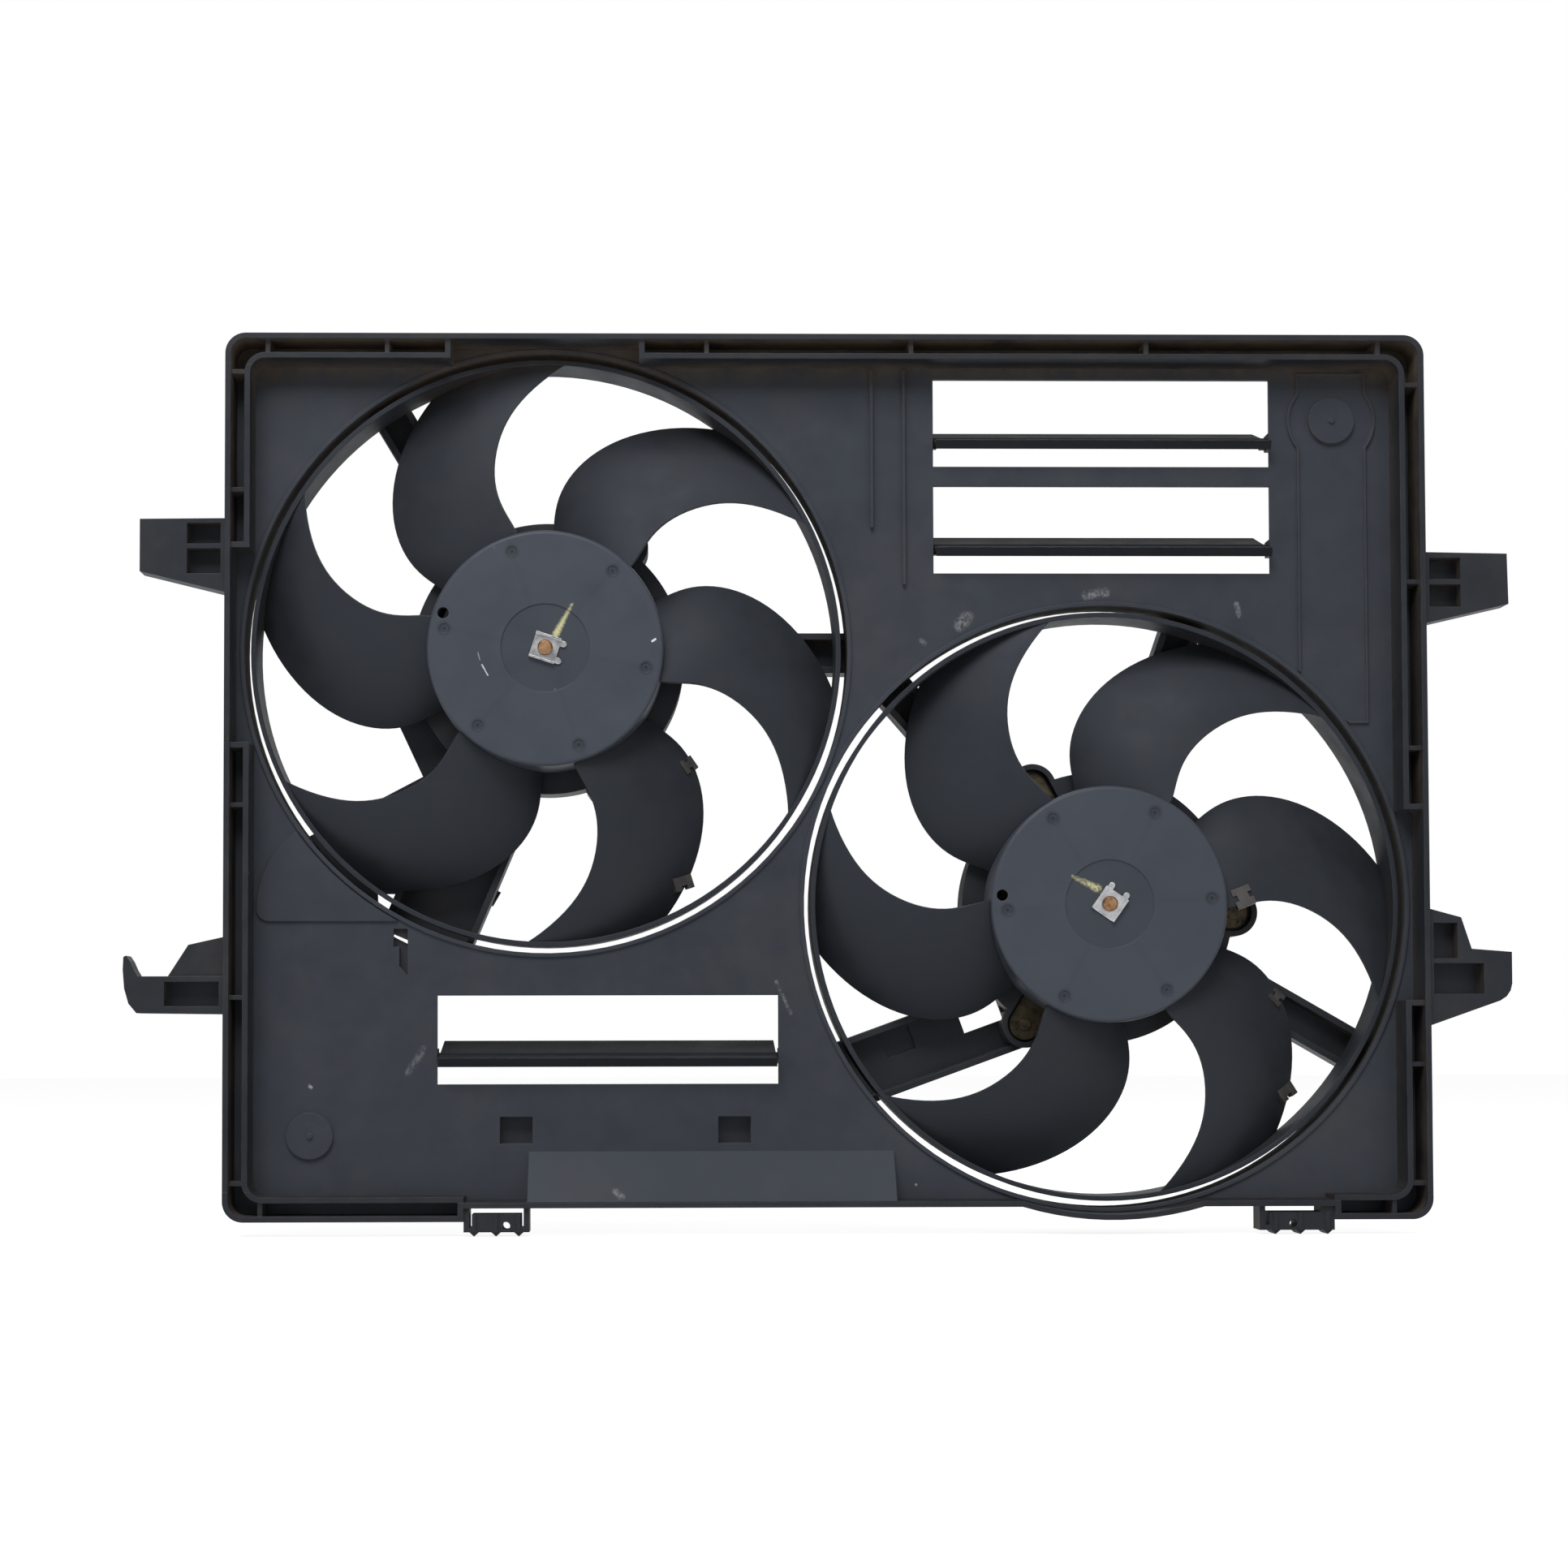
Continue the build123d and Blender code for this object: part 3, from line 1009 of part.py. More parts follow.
def module_board():
    """The circuit board inside the module, with the power transistors under the cover."""
    y0 = ARM_REAR_Y + BOARD_UP
    half_d, half_w = MODULE_D / 2 - MODULE_WALL, MODULE_W / 2 - MODULE_WALL
    board = block(-half_d, half_d, y0, y0 + BOARD_T, -half_w, half_w)
    w, h = CHIP
    chip = block(CHIP_REACH, CHIP_REACH + w, y0 + BOARD_T, ARM_REAR_Y + MODULE_H, -h / 2, h / 2)
    for place in (-1, 0, 1):
        board += Pos(0, 0, place * CHIP_PITCH) * chip
    return at_module(board)


def module_screws():
    """Two pan head screws through the module's ears into the deck."""
    screws = Part()
    seat = ARM_REAR_Y + MODULE_EAR_T
    for side in (-1, 1):
        z = side * (MODULE_W + MODULE_EAR) / 2
        screw = rod(MODULE_SCREW_R, ARM_REAR_Y, seat, 0, z)
        screw += rod(MODULE_SCREW_HEAD_R, seat, seat + MODULE_SCREW_HEAD_L, 0, z)
        screws += at_module(screw)
    return screws


def nodes():
    """Every sub-part by name, in its place."""
    made = {"shroud_panel": shroud_panel()}
    made.update(rim_parts())
    for name, (x, z) in WINDOW_CENTRES.items():
        made[name + "_flap_bearings"] = flap_bearings(x, z, FLAP_OPEN[name])
        made[name + "_flap"] = flap(x, z, FLAP_OPEN[name])
    first_blade = blade()
    barrel = tube(BARREL_R, OPENING_R, PLATE_REAR_Y, BARREL_REAR_Y)
    hub = fan_hub()
    ring = tube(FAN_RING_R, FAN_RING_R - FAN_RING_T, FAN_RING_Y, FAN_RING_REAR_Y)
    bar, core, copper, drum = shaft(), armature_core(), armature_windings(), commutator()
    can, cap, card, carbon, ferrite = motor_can(), motor_end_cap(), brush_card(), brushes(), magnets()
    for side, (x, z) in SIDES.items():
        place = Pos(x, 0, z)
        made[side + "_barrel"] = place * barrel
        holder, arms = carrier(side)
        made[side + "_motor_carrier"] = place * holder
        made[side + "_motor_arms"] = place * arms
        made[side + "_fan_hub"] = place * turned(hub, PHASE[side])
        made[side + "_fan_blades"] = place * fan_blades(first_blade, PHASE[side])
        made[side + "_fan_ring"] = place * ring
        weights = sum((balance_clip(first_blade, *clip) for clip in BALANCE_CLIPS[side]), Part())
        made[side + "_balance_clips"] = place * turned(weights, PHASE[side])
        made[side + "_fan_clip"] = place * fan_clip(CLIP_TURN[side])
        made[side + "_motor_shaft"] = place * bar
        made[side + "_armature_core"] = place * core
        made[side + "_armature_windings"] = place * copper
        made[side + "_commutator"] = place * drum
        made[side + "_motor_can"] = place * can
        made[side + "_motor_flange"] = place * motor_flange(EARS[side])
        made[side + "_motor_screws"] = place * motor_screws(EARS[side])
        made[side + "_motor_magnets"] = place * ferrite
        made[side + "_motor_end_cap"] = place * cap
        made[side + "_brush_card"] = place * card
        made[side + "_brushes"] = place * carbon
        made[side + "_front_bearing"] = place * bearing(FRONT_BEARING_Y)
        made[side + "_rear_bearing"] = place * bearing(REAR_BEARING_Y)
    left = Pos(SIDES["left"][0], 0, SIDES["left"][1])
    made["control_module_housing"] = left * module_housing()
    made["control_module_cover"] = left * module_cover()
    made["control_module_board"] = left * module_board()
    made["control_module_screws"] = left * module_screws()
    return made


os.makedirs("parts", exist_ok=True)
for node_name, node_shape in nodes().items():
    export_step(node_shape, os.path.join("parts", node_name + ".step"))
    print(node_name, len(node_shape.solids()), round(node_shape.volume / 1000, 1))
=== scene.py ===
"""Twin radiator cooling fan module on a pale floor: materials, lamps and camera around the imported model.

Metres, in the model's own frame: X to the right and Z up seen from the radiator side, Y towards the engine.
"""
import json
from math import radians

import bpy
from mathutils import Euler, Matrix, Vector


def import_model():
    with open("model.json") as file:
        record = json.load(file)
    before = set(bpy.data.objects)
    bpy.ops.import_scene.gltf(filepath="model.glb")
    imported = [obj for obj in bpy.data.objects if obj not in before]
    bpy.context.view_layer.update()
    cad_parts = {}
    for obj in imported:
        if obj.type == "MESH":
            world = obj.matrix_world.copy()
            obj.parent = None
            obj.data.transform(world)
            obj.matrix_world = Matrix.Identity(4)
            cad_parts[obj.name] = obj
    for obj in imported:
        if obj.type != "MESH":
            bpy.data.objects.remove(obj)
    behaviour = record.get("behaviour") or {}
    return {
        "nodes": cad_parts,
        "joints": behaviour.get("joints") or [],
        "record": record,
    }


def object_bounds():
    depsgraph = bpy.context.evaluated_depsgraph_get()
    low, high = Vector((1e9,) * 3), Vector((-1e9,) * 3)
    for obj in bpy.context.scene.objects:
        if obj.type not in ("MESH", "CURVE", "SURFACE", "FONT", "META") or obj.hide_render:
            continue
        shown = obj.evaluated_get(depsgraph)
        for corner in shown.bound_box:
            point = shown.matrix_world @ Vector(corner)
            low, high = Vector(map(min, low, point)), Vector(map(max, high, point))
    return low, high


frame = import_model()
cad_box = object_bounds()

MM = 0.001

# Camera, fitted to the photograph's view
CAMERA_AT = (-0.093, -1.300, -0.148)
CAMERA_PITCH_DEG = 1.9
CAMERA_YAW_DEG = -0.85
CAMERA_ROLL_DEG = -0.12
CAMERA_LENS = 56.4
CAMERA_SHIFT = (0.060, 0.120)

# Nodes that take the rims' darker copy of the shroud plastic, a painted shade, by the end of their names
PAINTED_SHADE_RIM_ENDS = ("_barrel", "_carrier", "_arms", "_bearings")

# The fans' axes, from the joints
AXES = {j["name"].split("_")[0]: Vector(j["pos_m"]) for j in frame["joints"] if j.get("continuous")}

# Colours, linear
SHROUD = (0.0300, 0.0345, 0.0430)
SHROUD_LIGHT = (0.0440, 0.0490, 0.0600)
# Rims, barrels, carrier, arms and bearings: the shroud plastic painted darker, a painted shade
RIM_PAINTED_SHADE = (0.0160, 0.0173, 0.0210)
RIM_PAINTED_SHADE_LIGHT = (0.0290, 0.0308, 0.0360)
FAN = (0.0140, 0.0158, 0.0202)
FAN_LIGHT = (0.0235, 0.0262, 0.0325)
# Hub: a lighter copy of the fan plastic, painted light on the front-facing hub
HUB_PAINTED_LIT = (0.0450, 0.0520, 0.0660)
HUB_PAINTED_LIT_LIGHT = (0.0560, 0.0630, 0.0780)
FLAP = (0.0120, 0.0128, 0.0155)
FLAP_LIGHT = (0.0200, 0.0212, 0.0245)
DUST = (0.120, 0.092, 0.068)
# Lighter edge colour: wear and a painted highlight along the edges
EDGE_WEAR_AND_HIGHLIGHT = (0.085, 0.088, 0.095)
CHIP = (0.55, 0.55, 0.55)
PAINT = (0.56, 0.54, 0.30)
SCRATCH = (0.80, 0.80, 0.80)
BLACK = (0.010, 0.010, 0.011)
BLACK_LIGHT = (0.018, 0.018, 0.019)
CARD = (0.16, 0.10, 0.05)
CARD_LIGHT = (0.24, 0.16, 0.08)
BOARD = (0.010, 0.075, 0.028)
BOARD_LIGHT = (0.018, 0.12, 0.045)
COPPER = (0.20, 0.055, 0.018)
COPPER_LIGHT = (0.52, 0.19, 0.07)
FLOOR = (0.50, 0.50, 0.50)
WHITE = (1.0, 1.0, 1.0, 1.0)
GLOSS_TINT = (0.80, 0.88, 1.0, 1.0)

# Metals and the like by slot: dark and light tone, and what differs from metal()'s usual values
METALS = {
    "zinc_steel": ((0.46, 0.47, 0.49), (0.66, 0.67, 0.69), {"stained": 0.18, "rough": 0.3}),
    "spring_steel": ((0.042, 0.039, 0.038), (0.072, 0.067, 0.064),
                     {"stain": (0.05, 0.04, 0.034), "rough": 0.55, "metallic": 0.5}),
    "shaft_steel": ((0.24, 0.12, 0.06), (0.42, 0.25, 0.14),
                    {"stain": (0.06, 0.03, 0.02), "stained": 0.7, "rough": 0.36}),
    # The yellow zinc's gold edge colour is wear and a painted edge highlight
    "yellow_zinc": ((0.040, 0.033, 0.020), (0.110, 0.088, 0.048),
                    {"stain": (0.026, 0.021, 0.015), "stained": 0.8, "rough": 0.55, "metallic": 0.6,
                     "bare_and_highlight": (0.85, 0.70, 0.38)}),
    "can_steel": ((0.030, 0.031, 0.034), (0.055, 0.056, 0.060), {"stained": 0.45, "rough": 0.42}),
    "core_steel": ((0.18, 0.18, 0.19), (0.30, 0.30, 0.31), {"rough": 0.4, "stretch": (1.0, 30.0, 1.0)}),
    "module_aluminium": ((0.40, 0.41, 0.42), (0.56, 0.57, 0.58), {"stain": (0.16, 0.15, 0.14), "rough": 0.5}),
    "bronze": ((0.34, 0.20, 0.09), (0.50, 0.33, 0.17), {"rough": 0.45}),
    "ferrite": ((0.035, 0.035, 0.037), (0.06, 0.06, 0.062), {"rough": 0.6, "metallic": 0.2}),
    "carbon": ((0.02, 0.02, 0.02), (0.04, 0.04, 0.04), {"rough": 0.6, "metallic": 0.1}),
}

# Radius of the worn edges, which also carry a painted edge highlight, how far dust reaches out of a corner,
# and depth of the surface's relief
PLASTIC_EDGE_R = 0.7 * MM
METAL_EDGE_R = 0.35 * MM
PLASTIC_CORNER = 24.0 * MM
METAL_CORNER = 4.0 * MM
PLASTIC_RELIEF = 0.12 * MM
METAL_RELIEF = 0.05 * MM
WIRE_RELIEF = 0.2 * MM

# Heights between which the dust grows: over the upper half, and in the top rim
DUST_RISE = (0.10, 0.200)
TOP_RIM = (0.200, 0.222)

# Noise scales of moulded plastic and of metal, and the most that a chip shows
BROAD_SCALE = 7.0
CLOUD_SCALE = 55.0
WEAR_AND_HIGHLIGHT_SCALE = 130.0
PATCH_SCALE = 40.0
FILM_SCALE = 17.0
SPECK_SCALE = 62.0
GRAIN_SCALE = 2600.0
RELIEF_SCALE = 260.0
METAL_GRAIN_SCALE = 900.0
CHIP_SHARE = 0.45

# Floor and surround: metres, the floor's own glow, and the surround's strength as light and to the camera
FLOOR_SIZE = 14.0
FLOOR_Y = 2.0
FLOOR_DROP = 0.2 * MM
FLOOR_GLOW = 0.82
SURROUND_LIGHT = 0.28
SURROUND_SEEN = 1.0

# Square lamps, aimed at the origin: place, side in metres and watts
LAMPS = {
    "key": ((-0.45, -1.55, 1.8), 1.4, 48.0),
    "fill": ((1.2, -1.6, 0.5), 1.6, 5.0),
    "low": ((-1.5, -1.0, -0.1), 0.5, 3.0),
    "back": ((0.4, 1.8, 1.3), 1.6, 12.0),
}

# Paint dabs: from and to as X and Z in mm beside the fan's axis, radius in mm, and how broken up they are
DABS = {
    "left": ((5.7, 7.5), (14.3, 23.4), 1.7, 0.1),
    "right": ((-6.5, 8.3), (-19.8, 14.7), 1.9, 0.8),
}
DAB_TAPER = 0.85

# Marks: from and to in mm, radius in mm, and share of their colour; a hub's are beside its axis
HUB_MARKS = {
    "left": (((-33.7, -9.1), (-30.6, -14.7), 0.35, 0.7), ((-35.9, -2.5), (-34.8, -6.5), 0.25, 0.3),
             ((57.2, 3.6), (58.8, 4.6), 0.55, 1.0)),
    "right": (((58.0, 31.0), (59.5, 29.0), 0.8, 0.10),),
}
PANEL_MARKS = (
    ((-277.4, -165.0), (-276.4, -165.8), 0.8, 0.75), ((-216.4, -145.3), (-224.7, -158.0), 1.6, 0.16),
    ((-27.0, -109.4), (-19.2, -126.5), 0.9, 0.20), ((-113.5, -221.0), (-110.0, -223.5), 1.5, 0.30),
    ((142.0, 99.8), (152.0, 101.2), 2.2, 0.30), ((73.2, 83.5), (77.0, 87.5), 3.0, 0.28),
    ((223.5, 95.0), (224.5, 89.0), 1.4, 0.26), ((52.0, 75.0), (54.0, 73.5), 1.2, 0.20),
    ((357.0, 116.0), (368.0, 99.0), 1.4, 0.35),
)

# Marks lie only on what is nearer to the sealing plane than these
HUB_FRONT = 12.0 * MM
PANEL_FRONT = 24.0 * MM

# A hub's dull middle: radius, half its soft edge, and share
HUB_DISC_R = 23.7 * MM
HUB_DISC_SOFT = 0.8 * MM
HUB_DISC_SHARE = 0.30

# A hub's ring of sinks, drawn as painted shade: radius, number, turn of the first one, outer and inner radius
# of its dot and halo
SINK_R = 54.8 * MM
SINKS = 6
SINK_TURN_DEG = {"left": 49.0, "right": 63.3}
SINK_DOT_R = (1.2 * MM, 0.7 * MM)
SINK_HALO_R = (4.6 * MM, 3.2 * MM)

# Faint painted shade of the sink lines over the ribs, from the middle to the sinks: half their width, where
# they start, and share
SPOKE_HALF_W = (2.4 * MM, 0.2 * MM)
SPOKE_START_R = (20 * MM, 30 * MM)
SPOKE_PAINTED_SHADE_SHARE = 0.10


class Shader:
    """A material with a Principled shader and short ways to add nodes to it."""

    def __init__(self, name):
        self.material = bpy.data.materials.new(name)
        self.material.use_nodes = True
        self.tree = self.material.node_tree
        self.bsdf = self.tree.nodes["Principled BSDF"]
        self.place = self.add("ShaderNodeTexCoord").outputs["Object"]

    def add(self, kind, settings=None, **inputs):
        node = self.tree.nodes.new(kind)
        for key, value in (settings or {}).items():
            setattr(node, key, value)
        for key, value in inputs.items():
            socket = node.inputs[int(key[1:])] if key[1:].isdigit() else node.inputs[key.replace("_", " ")]
            self.join(value, socket)
        return node

    def join(self, value, socket):
        if isinstance(value, bpy.types.NodeSocket):
            self.tree.links.new(value, socket)
        else:
            socket.default_value = value

    def math(self, operation, a, b=0.0, clamp=False):
        return self.add("ShaderNodeMath", {"operation": operation, "use_clamp": clamp}, i0=a, i1=b).outputs[0]

    def vector(self, operation, a, b=(0, 0, 0)):
        return self.add("ShaderNodeVectorMath", {"operation": operation}, i0=a, i1=b)

    def noise(self, scale, detail=3.0, rough=0.55, stretch=None, seed=0.0):
        at = self.place
        if stretch:
            at = self.add("ShaderNodeMapping", i0=at, Scale=stretch, Rotation=(0.3, 0.2, 0.5)).outputs[0]
        return self.add("ShaderNodeTexNoise", {"noise_dimensions": "4D"}, Vector=at, W=seed, Scale=scale,
                        Detail=detail, Roughness=rough).outputs["Fac"]

    def steps(self, value, low, high, to_low=0.0, to_high=1.0):
        node = self.add("ShaderNodeMapRange", {"clamp": True}, Value=value)
        for key, number in (("From Min", low), ("From Max", high), ("To Min", to_low), ("To Max", to_high)):
            node.inputs[key].default_value = number
        return node.outputs[0]

    def mix(self, share, a, b):
        node = self.add("ShaderNodeMix", {"data_type": "RGBA"})
        self.join(share, node.inputs[0])
        for value, socket in ((a, node.inputs[6]), (b, node.inputs[7])):
            self.join((*value, 1.0) if isinstance(value, tuple) else value, socket)
        return node.outputs[2]

    def edges(self, radius):
        """1 on sharp edges and 0 on flats, and the normal of the rounded edge."""
        rounded = self.add("ShaderNodeBevel", {"samples": 6}, Radius=radius).outputs[0]
        flat = self.add("ShaderNodeNewGeometry").outputs["Normal"]
        same = self.vector("DOT_PRODUCT", rounded, flat).outputs["Value"]
        return self.steps(same, 0.995, 0.80), rounded

    def hollows(self, distance):
        """1 in tight corners, 0 in the open."""
        open_share = self.add("ShaderNodeAmbientOcclusion", {"samples": 8, "only_local": False},
                              Distance=distance).outputs["AO"]
        return self.steps(open_share, 0.85, 0.25)

    def bump(self, height, strength, distance, normal=None):
        node = self.add("ShaderNodeBump", Height=height, Strength=strength, Distance=distance)
        if normal is not None:
            self.join(normal, node.inputs["Normal"])
        return node.outputs[0]

    def finish(self, colour, rough, normal, metallic=0.0, level=0.5):
        self.join(colour, self.bsdf.inputs["Base Color"])
        self.join(rough, self.bsdf.inputs["Roughness"])
        self.join(normal, self.bsdf.inputs["Normal"])
        self.bsdf.inputs["Metallic"].default_value = metallic
        self.bsdf.inputs["Specular IOR Level"].default_value = level
        return self.material


def stroke(shader, start, end, radius, taper=0.0, origin=(0.0, 0.0)):
    """1 on a capsule between two points in X and Z, with a ragged edge; taper thins it towards its end."""
    radius = radius * MM
    flat = shader.vector("MULTIPLY", shader.place, (1, 0, 1)).outputs[0]
    a = Vector((origin[0] + start[0] * MM, 0, origin[1] + start[1] * MM))
    run = Vector(((end[0] - start[0]) * MM, 0, (end[1] - start[1]) * MM))
    away = shader.vector("SUBTRACT", flat, a).outputs[0]
    along = shader.vector("DOT_PRODUCT", away, run / run.length_squared).outputs["Value"]
    along = shader.math("ADD", along, 0.0, clamp=True)
    foot = shader.add("ShaderNodeVectorMath", {"operation": "SCALE"}, i0=run, Scale=along).outputs[0]
    off = shader.vector("SUBTRACT", away, foot).outputs[0]
    gap = shader.vector("LENGTH", off).outputs["Value"]
    wider = shader.math("MULTIPLY", along, radius * taper)
    ragged = shader.math("MULTIPLY", shader.noise(900.0, 4.0), radius * 1.3)
    gap = shader.math("ADD", shader.math("ADD", gap, ragged), wider)
    return shader.steps(gap, radius * 2.1, radius * 1.1)


def in_front(shader, depth):
    """1 on what lies nearer to the sealing plane than a depth, 0 further back."""
    return shader.steps(shader.add("ShaderNodeSeparateXYZ", i0=shader.place).outputs[1], depth, depth - MM)


def hub_marks(shader, side, colour):
    """Adds a hub's dull middle, painted shade for the dots and halos of its sinks and the lines to them, its
    paint dab and its scratches.
    """
    s, axis = shader, (AXES[side].x, AXES[side].z)
    flat = s.vector("MULTIPLY", s.place, (1, 0, 1)).outputs[0]
    at = s.vector("SUBTRACT", flat, (axis[0], 0, axis[1])).outputs[0]
    r = s.vector("LENGTH", at).outputs["Value"]
    x, _, z = s.add("ShaderNodeSeparateXYZ", i0=at).outputs
    front = in_front(s, HUB_FRONT)
    inner = s.steps(r, HUB_DISC_R + HUB_DISC_SOFT, HUB_DISC_R - HUB_DISC_SOFT)
    colour = s.mix(s.math("MULTIPLY", inner, HUB_DISC_SHARE), colour, FAN_LIGHT)
    sector = radians(360.0 / SINKS)
    turn = s.math("SUBTRACT", s.math("ARCTAN2", z, x), radians(SINK_TURN_DEG[side]) - sector / 2)
    turn = s.math("SUBTRACT", s.math("FLOORED_MODULO", turn, sector), sector / 2)
    across = s.math("MULTIPLY", r, s.math("SINE", turn))
    outward = s.math("SUBTRACT", s.math("MULTIPLY", r, s.math("COSINE", turn)), SINK_R)
    away = s.math("ADD", s.math("MULTIPLY", across, across), s.math("MULTIPLY", outward, outward))
    away = s.math("SQRT", away)
    # Sink dots and halos darkened: painted shade of the shallow sink marks
    dot = s.math("MULTIPLY", s.steps(away, *SINK_DOT_R), 0.95)
    halo_painted_shade = s.math("MULTIPLY", s.steps(away, *SINK_HALO_R), 0.40)
    colour = s.mix(s.math("MAXIMUM", dot, halo_painted_shade), colour, FLAP)
    # Lines to the sinks darkened: painted shade of the sink lines over the ribs
    spoke_painted_shade = s.steps(s.math("ABSOLUTE", across), *SPOKE_HALF_W)
    spoke_painted_shade = s.math("MULTIPLY", spoke_painted_shade, s.steps(r, *SPOKE_START_R, 0.0, SPOKE_PAINTED_SHADE_SHARE))
    colour = s.mix(spoke_painted_shade, colour, FAN)
    start, end, radius, broken = DABS[side]
    dab = stroke(s, start, end, radius, DAB_TAPER, axis)
    dab = s.math("MULTIPLY", dab, s.steps(s.noise(700.0, 3.0), 0.40, 0.50, 1.0 - broken, 1.0))
    dab = s.math("MULTIPLY", dab, front)
    colour = s.mix(dab, colour, PAINT)
    for start, end, radius, share in HUB_MARKS[side]:
        mark = s.math("MULTIPLY", stroke(s, start, end, radius, 0.0, axis), front)
        colour = s.mix(s.math("MULTIPLY", mark, share), colour, SCRATCH)
    return colour


def panel_marks(shader, colour):
    """Adds the panel's pale scuffs and smears."""
    front = in_front(shader, PANEL_FRONT)
    broken = shader.steps(shader.noise(420.0, 4.0, 0.7), 0.42, 0.60, 0.05, 1.0)
    front = shader.math("MULTIPLY", front, broken)
    for start, end, radius, share in PANEL_MARKS:
        mark = shader.math("MULTIPLY", stroke(shader, start, end, radius), front)
        colour = shader.mix(shader.math("MULTIPLY", mark, share), colour, CHIP)
    return colour


def moulded(name, dark, light, dust=0.6, rough=0.50, level=0.20, chips=1.0, marks=None, seed=0.0):
    """Moulded plastic with mottling, fine grain, brown dust on its inner walls, worn edges with a painted edge
    highlight, and chips.
    """
    s = Shader(name)
    broad = s.noise(BROAD_SCALE, 3.0, seed=seed)
    cloud = s.noise(CLOUD_SCALE, 5.0, 0.6, seed=seed + 1)
    tone = s.steps(s.math("ADD", s.math("MULTIPLY", broad, 0.6), s.math("MULTIPLY", cloud, 0.4)), 0.36, 0.64)
    colour = s.mix(tone, dark, light)
    edge, rounded = s.edges(PLASTIC_EDGE_R)
    # Lighter edges: partly wear, partly a painted highlight
    worn_and_highlight = s.math("MULTIPLY", edge, s.steps(s.noise(WEAR_AND_HIGHLIGHT_SCALE, 4.0, seed=seed + 2), 0.42, 0.62, 0.10, 0.65))
    colour = s.mix(worn_and_highlight, colour, EDGE_WEAR_AND_HIGHLIGHT)
    facing = s.add("ShaderNodeSeparateXYZ", i0=s.add("ShaderNodeNewGeometry").outputs["Normal"]).outputs[1]
    z = s.add("ShaderNodeSeparateXYZ", i0=s.place).outputs[2]
    top = s.steps(z, *TOP_RIM)
    wall = s.steps(s.math("ABSOLUTE", facing), 0.85, 0.35, 0.12, 1.0)
    wall = s.math("MAXIMUM", wall, s.math("MULTIPLY", top, 0.9))
    high = s.math("ADD", s.steps(z, *DUST_RISE, 0.55, 0.90), s.math("MULTIPLY", top, 0.9))
    patchy = s.steps(s.noise(PATCH_SCALE, 5.0, 0.7, seed=seed + 4), 0.32, 0.66, 0.15, dust)
    grime = s.math("MULTIPLY", s.hollows(PLASTIC_CORNER), wall)
    grime = s.math("MULTIPLY", grime, s.math("MULTIPLY", patchy, high), clamp=True)
    film = s.steps(s.noise(FILM_SCALE, 5.0, 0.7, seed=seed + 3), 0.50, 0.70, 0.0, 0.14 * dust)
    grime = s.math("MAXIMUM", grime, film)
    colour = s.mix(grime, colour, DUST)
    cells = s.add("ShaderNodeTexVoronoi", Vector=s.place, Scale=SPECK_SCALE, Randomness=1.0)
    dot = s.steps(cells.outputs["Distance"], 0.060, 0.035)
    rare = s.steps(s.add("ShaderNodeSeparateColor", i0=cells.outputs["Color"]).outputs[0], 0.94, 0.96)
    speck = s.math("MULTIPLY", s.math("MULTIPLY", dot, rare), CHIP_SHARE * chips)
    colour = s.mix(speck, colour, CHIP)
    if marks:
        colour = marks(s, colour)
    grain = s.noise(GRAIN_SCALE, 2.0, seed=seed + 7)
    shine = s.steps(cloud, 0.3, 0.7, rough - 0.07, rough + 0.07)
    shine = s.math("ADD", shine, s.math("MULTIPLY", grime, 0.35), clamp=True)
    uneven = s.math("MULTIPLY", s.noise(RELIEF_SCALE, 3.0, seed=seed + 8), 0.5)
    relief = s.math("ADD", s.math("MULTIPLY", grain, 0.35), uneven)
    s.bsdf.inputs["Specular Tint"].default_value = GLOSS_TINT
    return s.finish(colour, shine, s.bump(relief, 0.22, PLASTIC_RELIEF, rounded), level=level)


def metal(name, colour, light, stain=(0.16, 0.08, 0.04), stained=0.3, rough=0.34, stretch=None, metallic=1.0,
          bare_and_highlight=None):
    """Metal with a fine grain, uneven tarnish and brighter edges, partly bare wear and partly a painted edge
    highlight, whose colour is the given edge colour where there is one.
    """
    s = Shader(name)
    tone = s.steps(s.noise(180.0, 5.0, 0.6), 0.35, 0.65)
    made = s.mix(tone, colour, light)
    edge, rounded = s.edges(METAL_EDGE_R)
    # Brighter edges: bare wear and a painted highlight along the edges
    made = s.mix(s.math("MULTIPLY", edge, 0.5), made, bare_and_highlight or tuple(min(1.0, 1.35 * c) for c in light))
    patch = s.steps(s.noise(320.0, 6.0, 0.7, seed=2.0), 0.50, 0.66, 0.0, stained)
    corner = s.math("MULTIPLY", s.hollows(METAL_CORNER), stained)
    dirt = s.math("MAXIMUM", patch, corner)
    made = s.mix(dirt, made, stain)
    shine = s.steps(tone, 0.0, 1.0, rough - 0.06, rough + 0.08)
    shine = s.math("ADD", shine, s.math("MULTIPLY", dirt, 0.4), clamp=True)
    lines = s.noise(METAL_GRAIN_SCALE, 3.0, stretch=stretch, seed=4.0)
    return s.finish(made, shine, s.bump(lines, 0.25, METAL_RELIEF, rounded), metallic)


def board():
    """Green circuit board with darker tracks."""
    s = Shader("board")
    tracks = s.steps(s.noise(400.0, 1.0, stretch=(1.0, 1.0, 6.0)), 0.49, 0.51)
    colour = s.mix(tracks, BOARD, BOARD_LIGHT)
    return s.finish(colour, s.steps(s.noise(900.0), 0.3, 0.7, 0.25, 0.4), s.bump(tracks, 0.3, METAL_RELIEF))


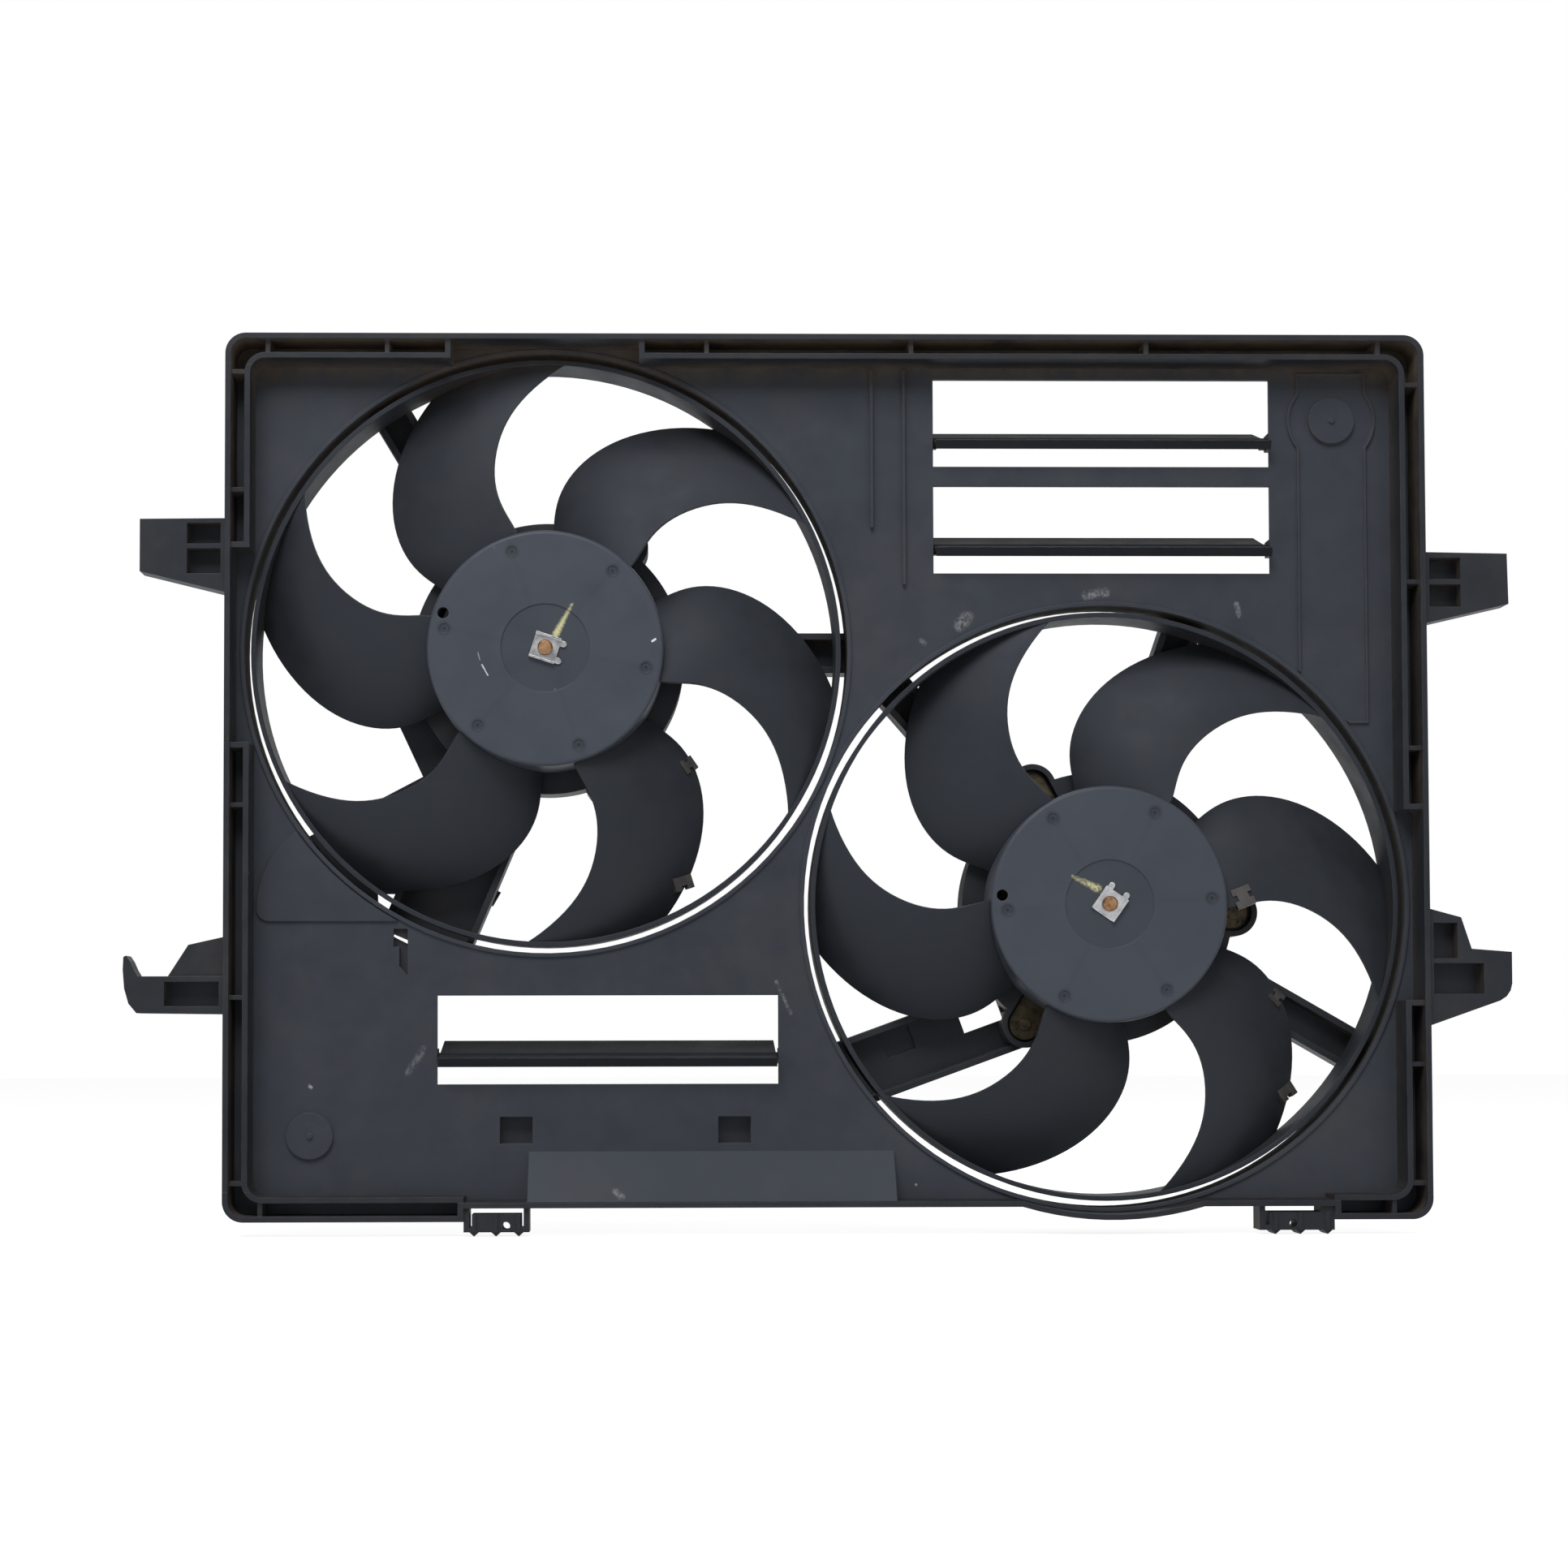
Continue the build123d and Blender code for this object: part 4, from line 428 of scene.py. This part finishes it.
def copper():
    """Enamelled copper wire, wound in lines."""
    s = Shader("copper")
    wire = s.add("ShaderNodeTexWave", {"bands_direction": "DIAGONAL"}, Vector=s.place, Scale=420.0,
                 Distortion=1.5).outputs[0]
    colour = s.mix(wire, COPPER, COPPER_LIGHT)
    shine = s.steps(s.noise(300.0), 0.3, 0.7, 0.28, 0.42)
    return s.finish(colour, shine, s.bump(wire, 0.6, WIRE_RELIEF), 0.9)


def dress():
    """Gives every CAD node its material."""
    shroud = moulded("shroud_plastic", SHROUD, SHROUD_LIGHT, dust=0.85, marks=panel_marks)
    # A darker copy of the shroud plastic for the rims and barrels: painted shade
    painted_shade_rim = moulded("rim_painted_shade_plastic", RIM_PAINTED_SHADE, RIM_PAINTED_SHADE_LIGHT, dust=1.0, seed=30.0)
    flap = moulded("flap_plastic", FLAP, FLAP_LIGHT, dust=0.3, rough=0.75, level=0.08, seed=3.0)
    fan = {side: moulded(side + "_fan_plastic", FAN, FAN_LIGHT, dust=0.35, rough=0.56, level=0.26, seed=seed)
           for side, seed in (("left", 10.0), ("right", 20.0))}
    # The hubs get a lighter copy of the blades' plastic: painted light
    hub = {side: moulded(side + "_hub_plastic", HUB_PAINTED_LIT, HUB_PAINTED_LIT_LIGHT, dust=0.3, rough=0.46, level=0.30, chips=0.3,
                         marks=lambda s, colour, side=side: hub_marks(s, side, colour), seed=seed)
           for side, seed in (("left", 12.0), ("right", 22.0))}
    by_slot = {
        "shroud_plastic": shroud, "flap_plastic": flap,
        "black_plastic": moulded("black_plastic", BLACK, BLACK_LIGHT, dust=0.5, rough=0.4, seed=6.0),
        "card_plastic": moulded("card_plastic", CARD, CARD_LIGHT, dust=0.3, rough=0.5, seed=7.0),
        "copper": copper(), "board_green": board()}
    for slot, (dark, light, settings) in METALS.items():
        by_slot[slot] = metal(slot, dark, light, **settings)
    for part in frame["record"]["subparts"]:
        node = frame["nodes"][part["node"]]
        side = part["node"].split("_")[0]
        material = by_slot.get(part["material_slot"])
        if part["material_slot"] == "fan_plastic":
            material = hub[side] if part["node"].endswith("_hub") else fan[side]
        # Rims and the parts ending in these names take the painted-shade copy of the shroud plastic
        elif part["node"].startswith("rim_") or part["node"].endswith(PAINTED_SHADE_RIM_ENDS):
            material = painted_shade_rim
        node.data.materials.clear()
        node.data.materials.append(material)


def floor(height):
    """The pale floor under the module, nearly white to the camera, with the shadow on it."""
    bpy.ops.mesh.primitive_plane_add(size=FLOOR_SIZE, location=(0, FLOOR_Y, height))
    plane = bpy.context.object
    plane.name = "floor"
    s = Shader("floor")
    rays = s.add("ShaderNodeLightPath").outputs
    shade = s.mix(s.steps(s.noise(3.0), 0.3, 0.7), FLOOR, tuple(1.04 * c for c in FLOOR))
    s.finish(shade, 0.9, s.bump(s.noise(300.0), 0.02, MM), level=0.1)
    lit = s.add("ShaderNodeEmission", Color=WHITE, Strength=FLOOR_GLOW)
    both = s.add("ShaderNodeAddShader", i0=s.bsdf.outputs[0], i1=lit.outputs[0])
    seen = s.math("MAXIMUM", rays["Is Camera Ray"], rays["Is Glossy Ray"])
    pick = s.add("ShaderNodeMixShader", i0=seen, i1=s.bsdf.outputs[0], i2=both.outputs[0])
    s.tree.links.new(pick.outputs[0], s.tree.nodes["Material Output"].inputs[0])
    plane.data.materials.append(s.material)


def world():
    """A pale surround: white to the camera, softer as light and in gloss."""
    made = bpy.data.worlds.new("studio")
    bpy.context.scene.world = made
    made.use_nodes = True
    nodes, links = made.node_tree.nodes, made.node_tree.links
    rays = nodes.new("ShaderNodeLightPath").outputs
    level = nodes.new("ShaderNodeMix")
    level.inputs[2].default_value = SURROUND_LIGHT
    level.inputs[3].default_value = SURROUND_SEEN
    links.new(rays["Is Camera Ray"], level.inputs[0])
    links.new(level.outputs[0], nodes["Background"].inputs["Strength"])
    nodes["Background"].inputs["Color"].default_value = WHITE


def lamp(name, place, size, watts):
    """A square soft lamp that points at the origin."""
    data = bpy.data.lights.new(name, "AREA")
    data.shape = "SQUARE"
    data.size = size
    data.energy = watts
    made = bpy.data.objects.new(name, data)
    bpy.context.scene.collection.objects.link(made)
    made.location = place
    made.rotation_euler = (-Vector(place)).to_track_quat("-Z", "Y").to_euler()


def camera():
    """The photograph's view: a little below the middle, nearly straight on."""
    data = bpy.data.cameras.new("view")
    data.lens = CAMERA_LENS
    data.shift_x, data.shift_y = CAMERA_SHIFT
    made = bpy.data.objects.new("view", data)
    bpy.context.scene.collection.objects.link(made)
    turn = Euler((radians(90 + CAMERA_PITCH_DEG), 0.0, radians(CAMERA_YAW_DEG)), "XYZ").to_matrix().to_4x4()
    turn = turn @ Matrix.Rotation(radians(CAMERA_ROLL_DEG), 4, "Z")
    made.matrix_world = Matrix.Translation(CAMERA_AT) @ turn
    bpy.context.scene.camera = made


dress()
floor(cad_box[0].z - FLOOR_DROP)
world()
for name, (place, size, watts) in LAMPS.items():
    lamp(name, place, size, watts)
camera()
bpy.context.scene.view_settings.view_transform = "Standard"
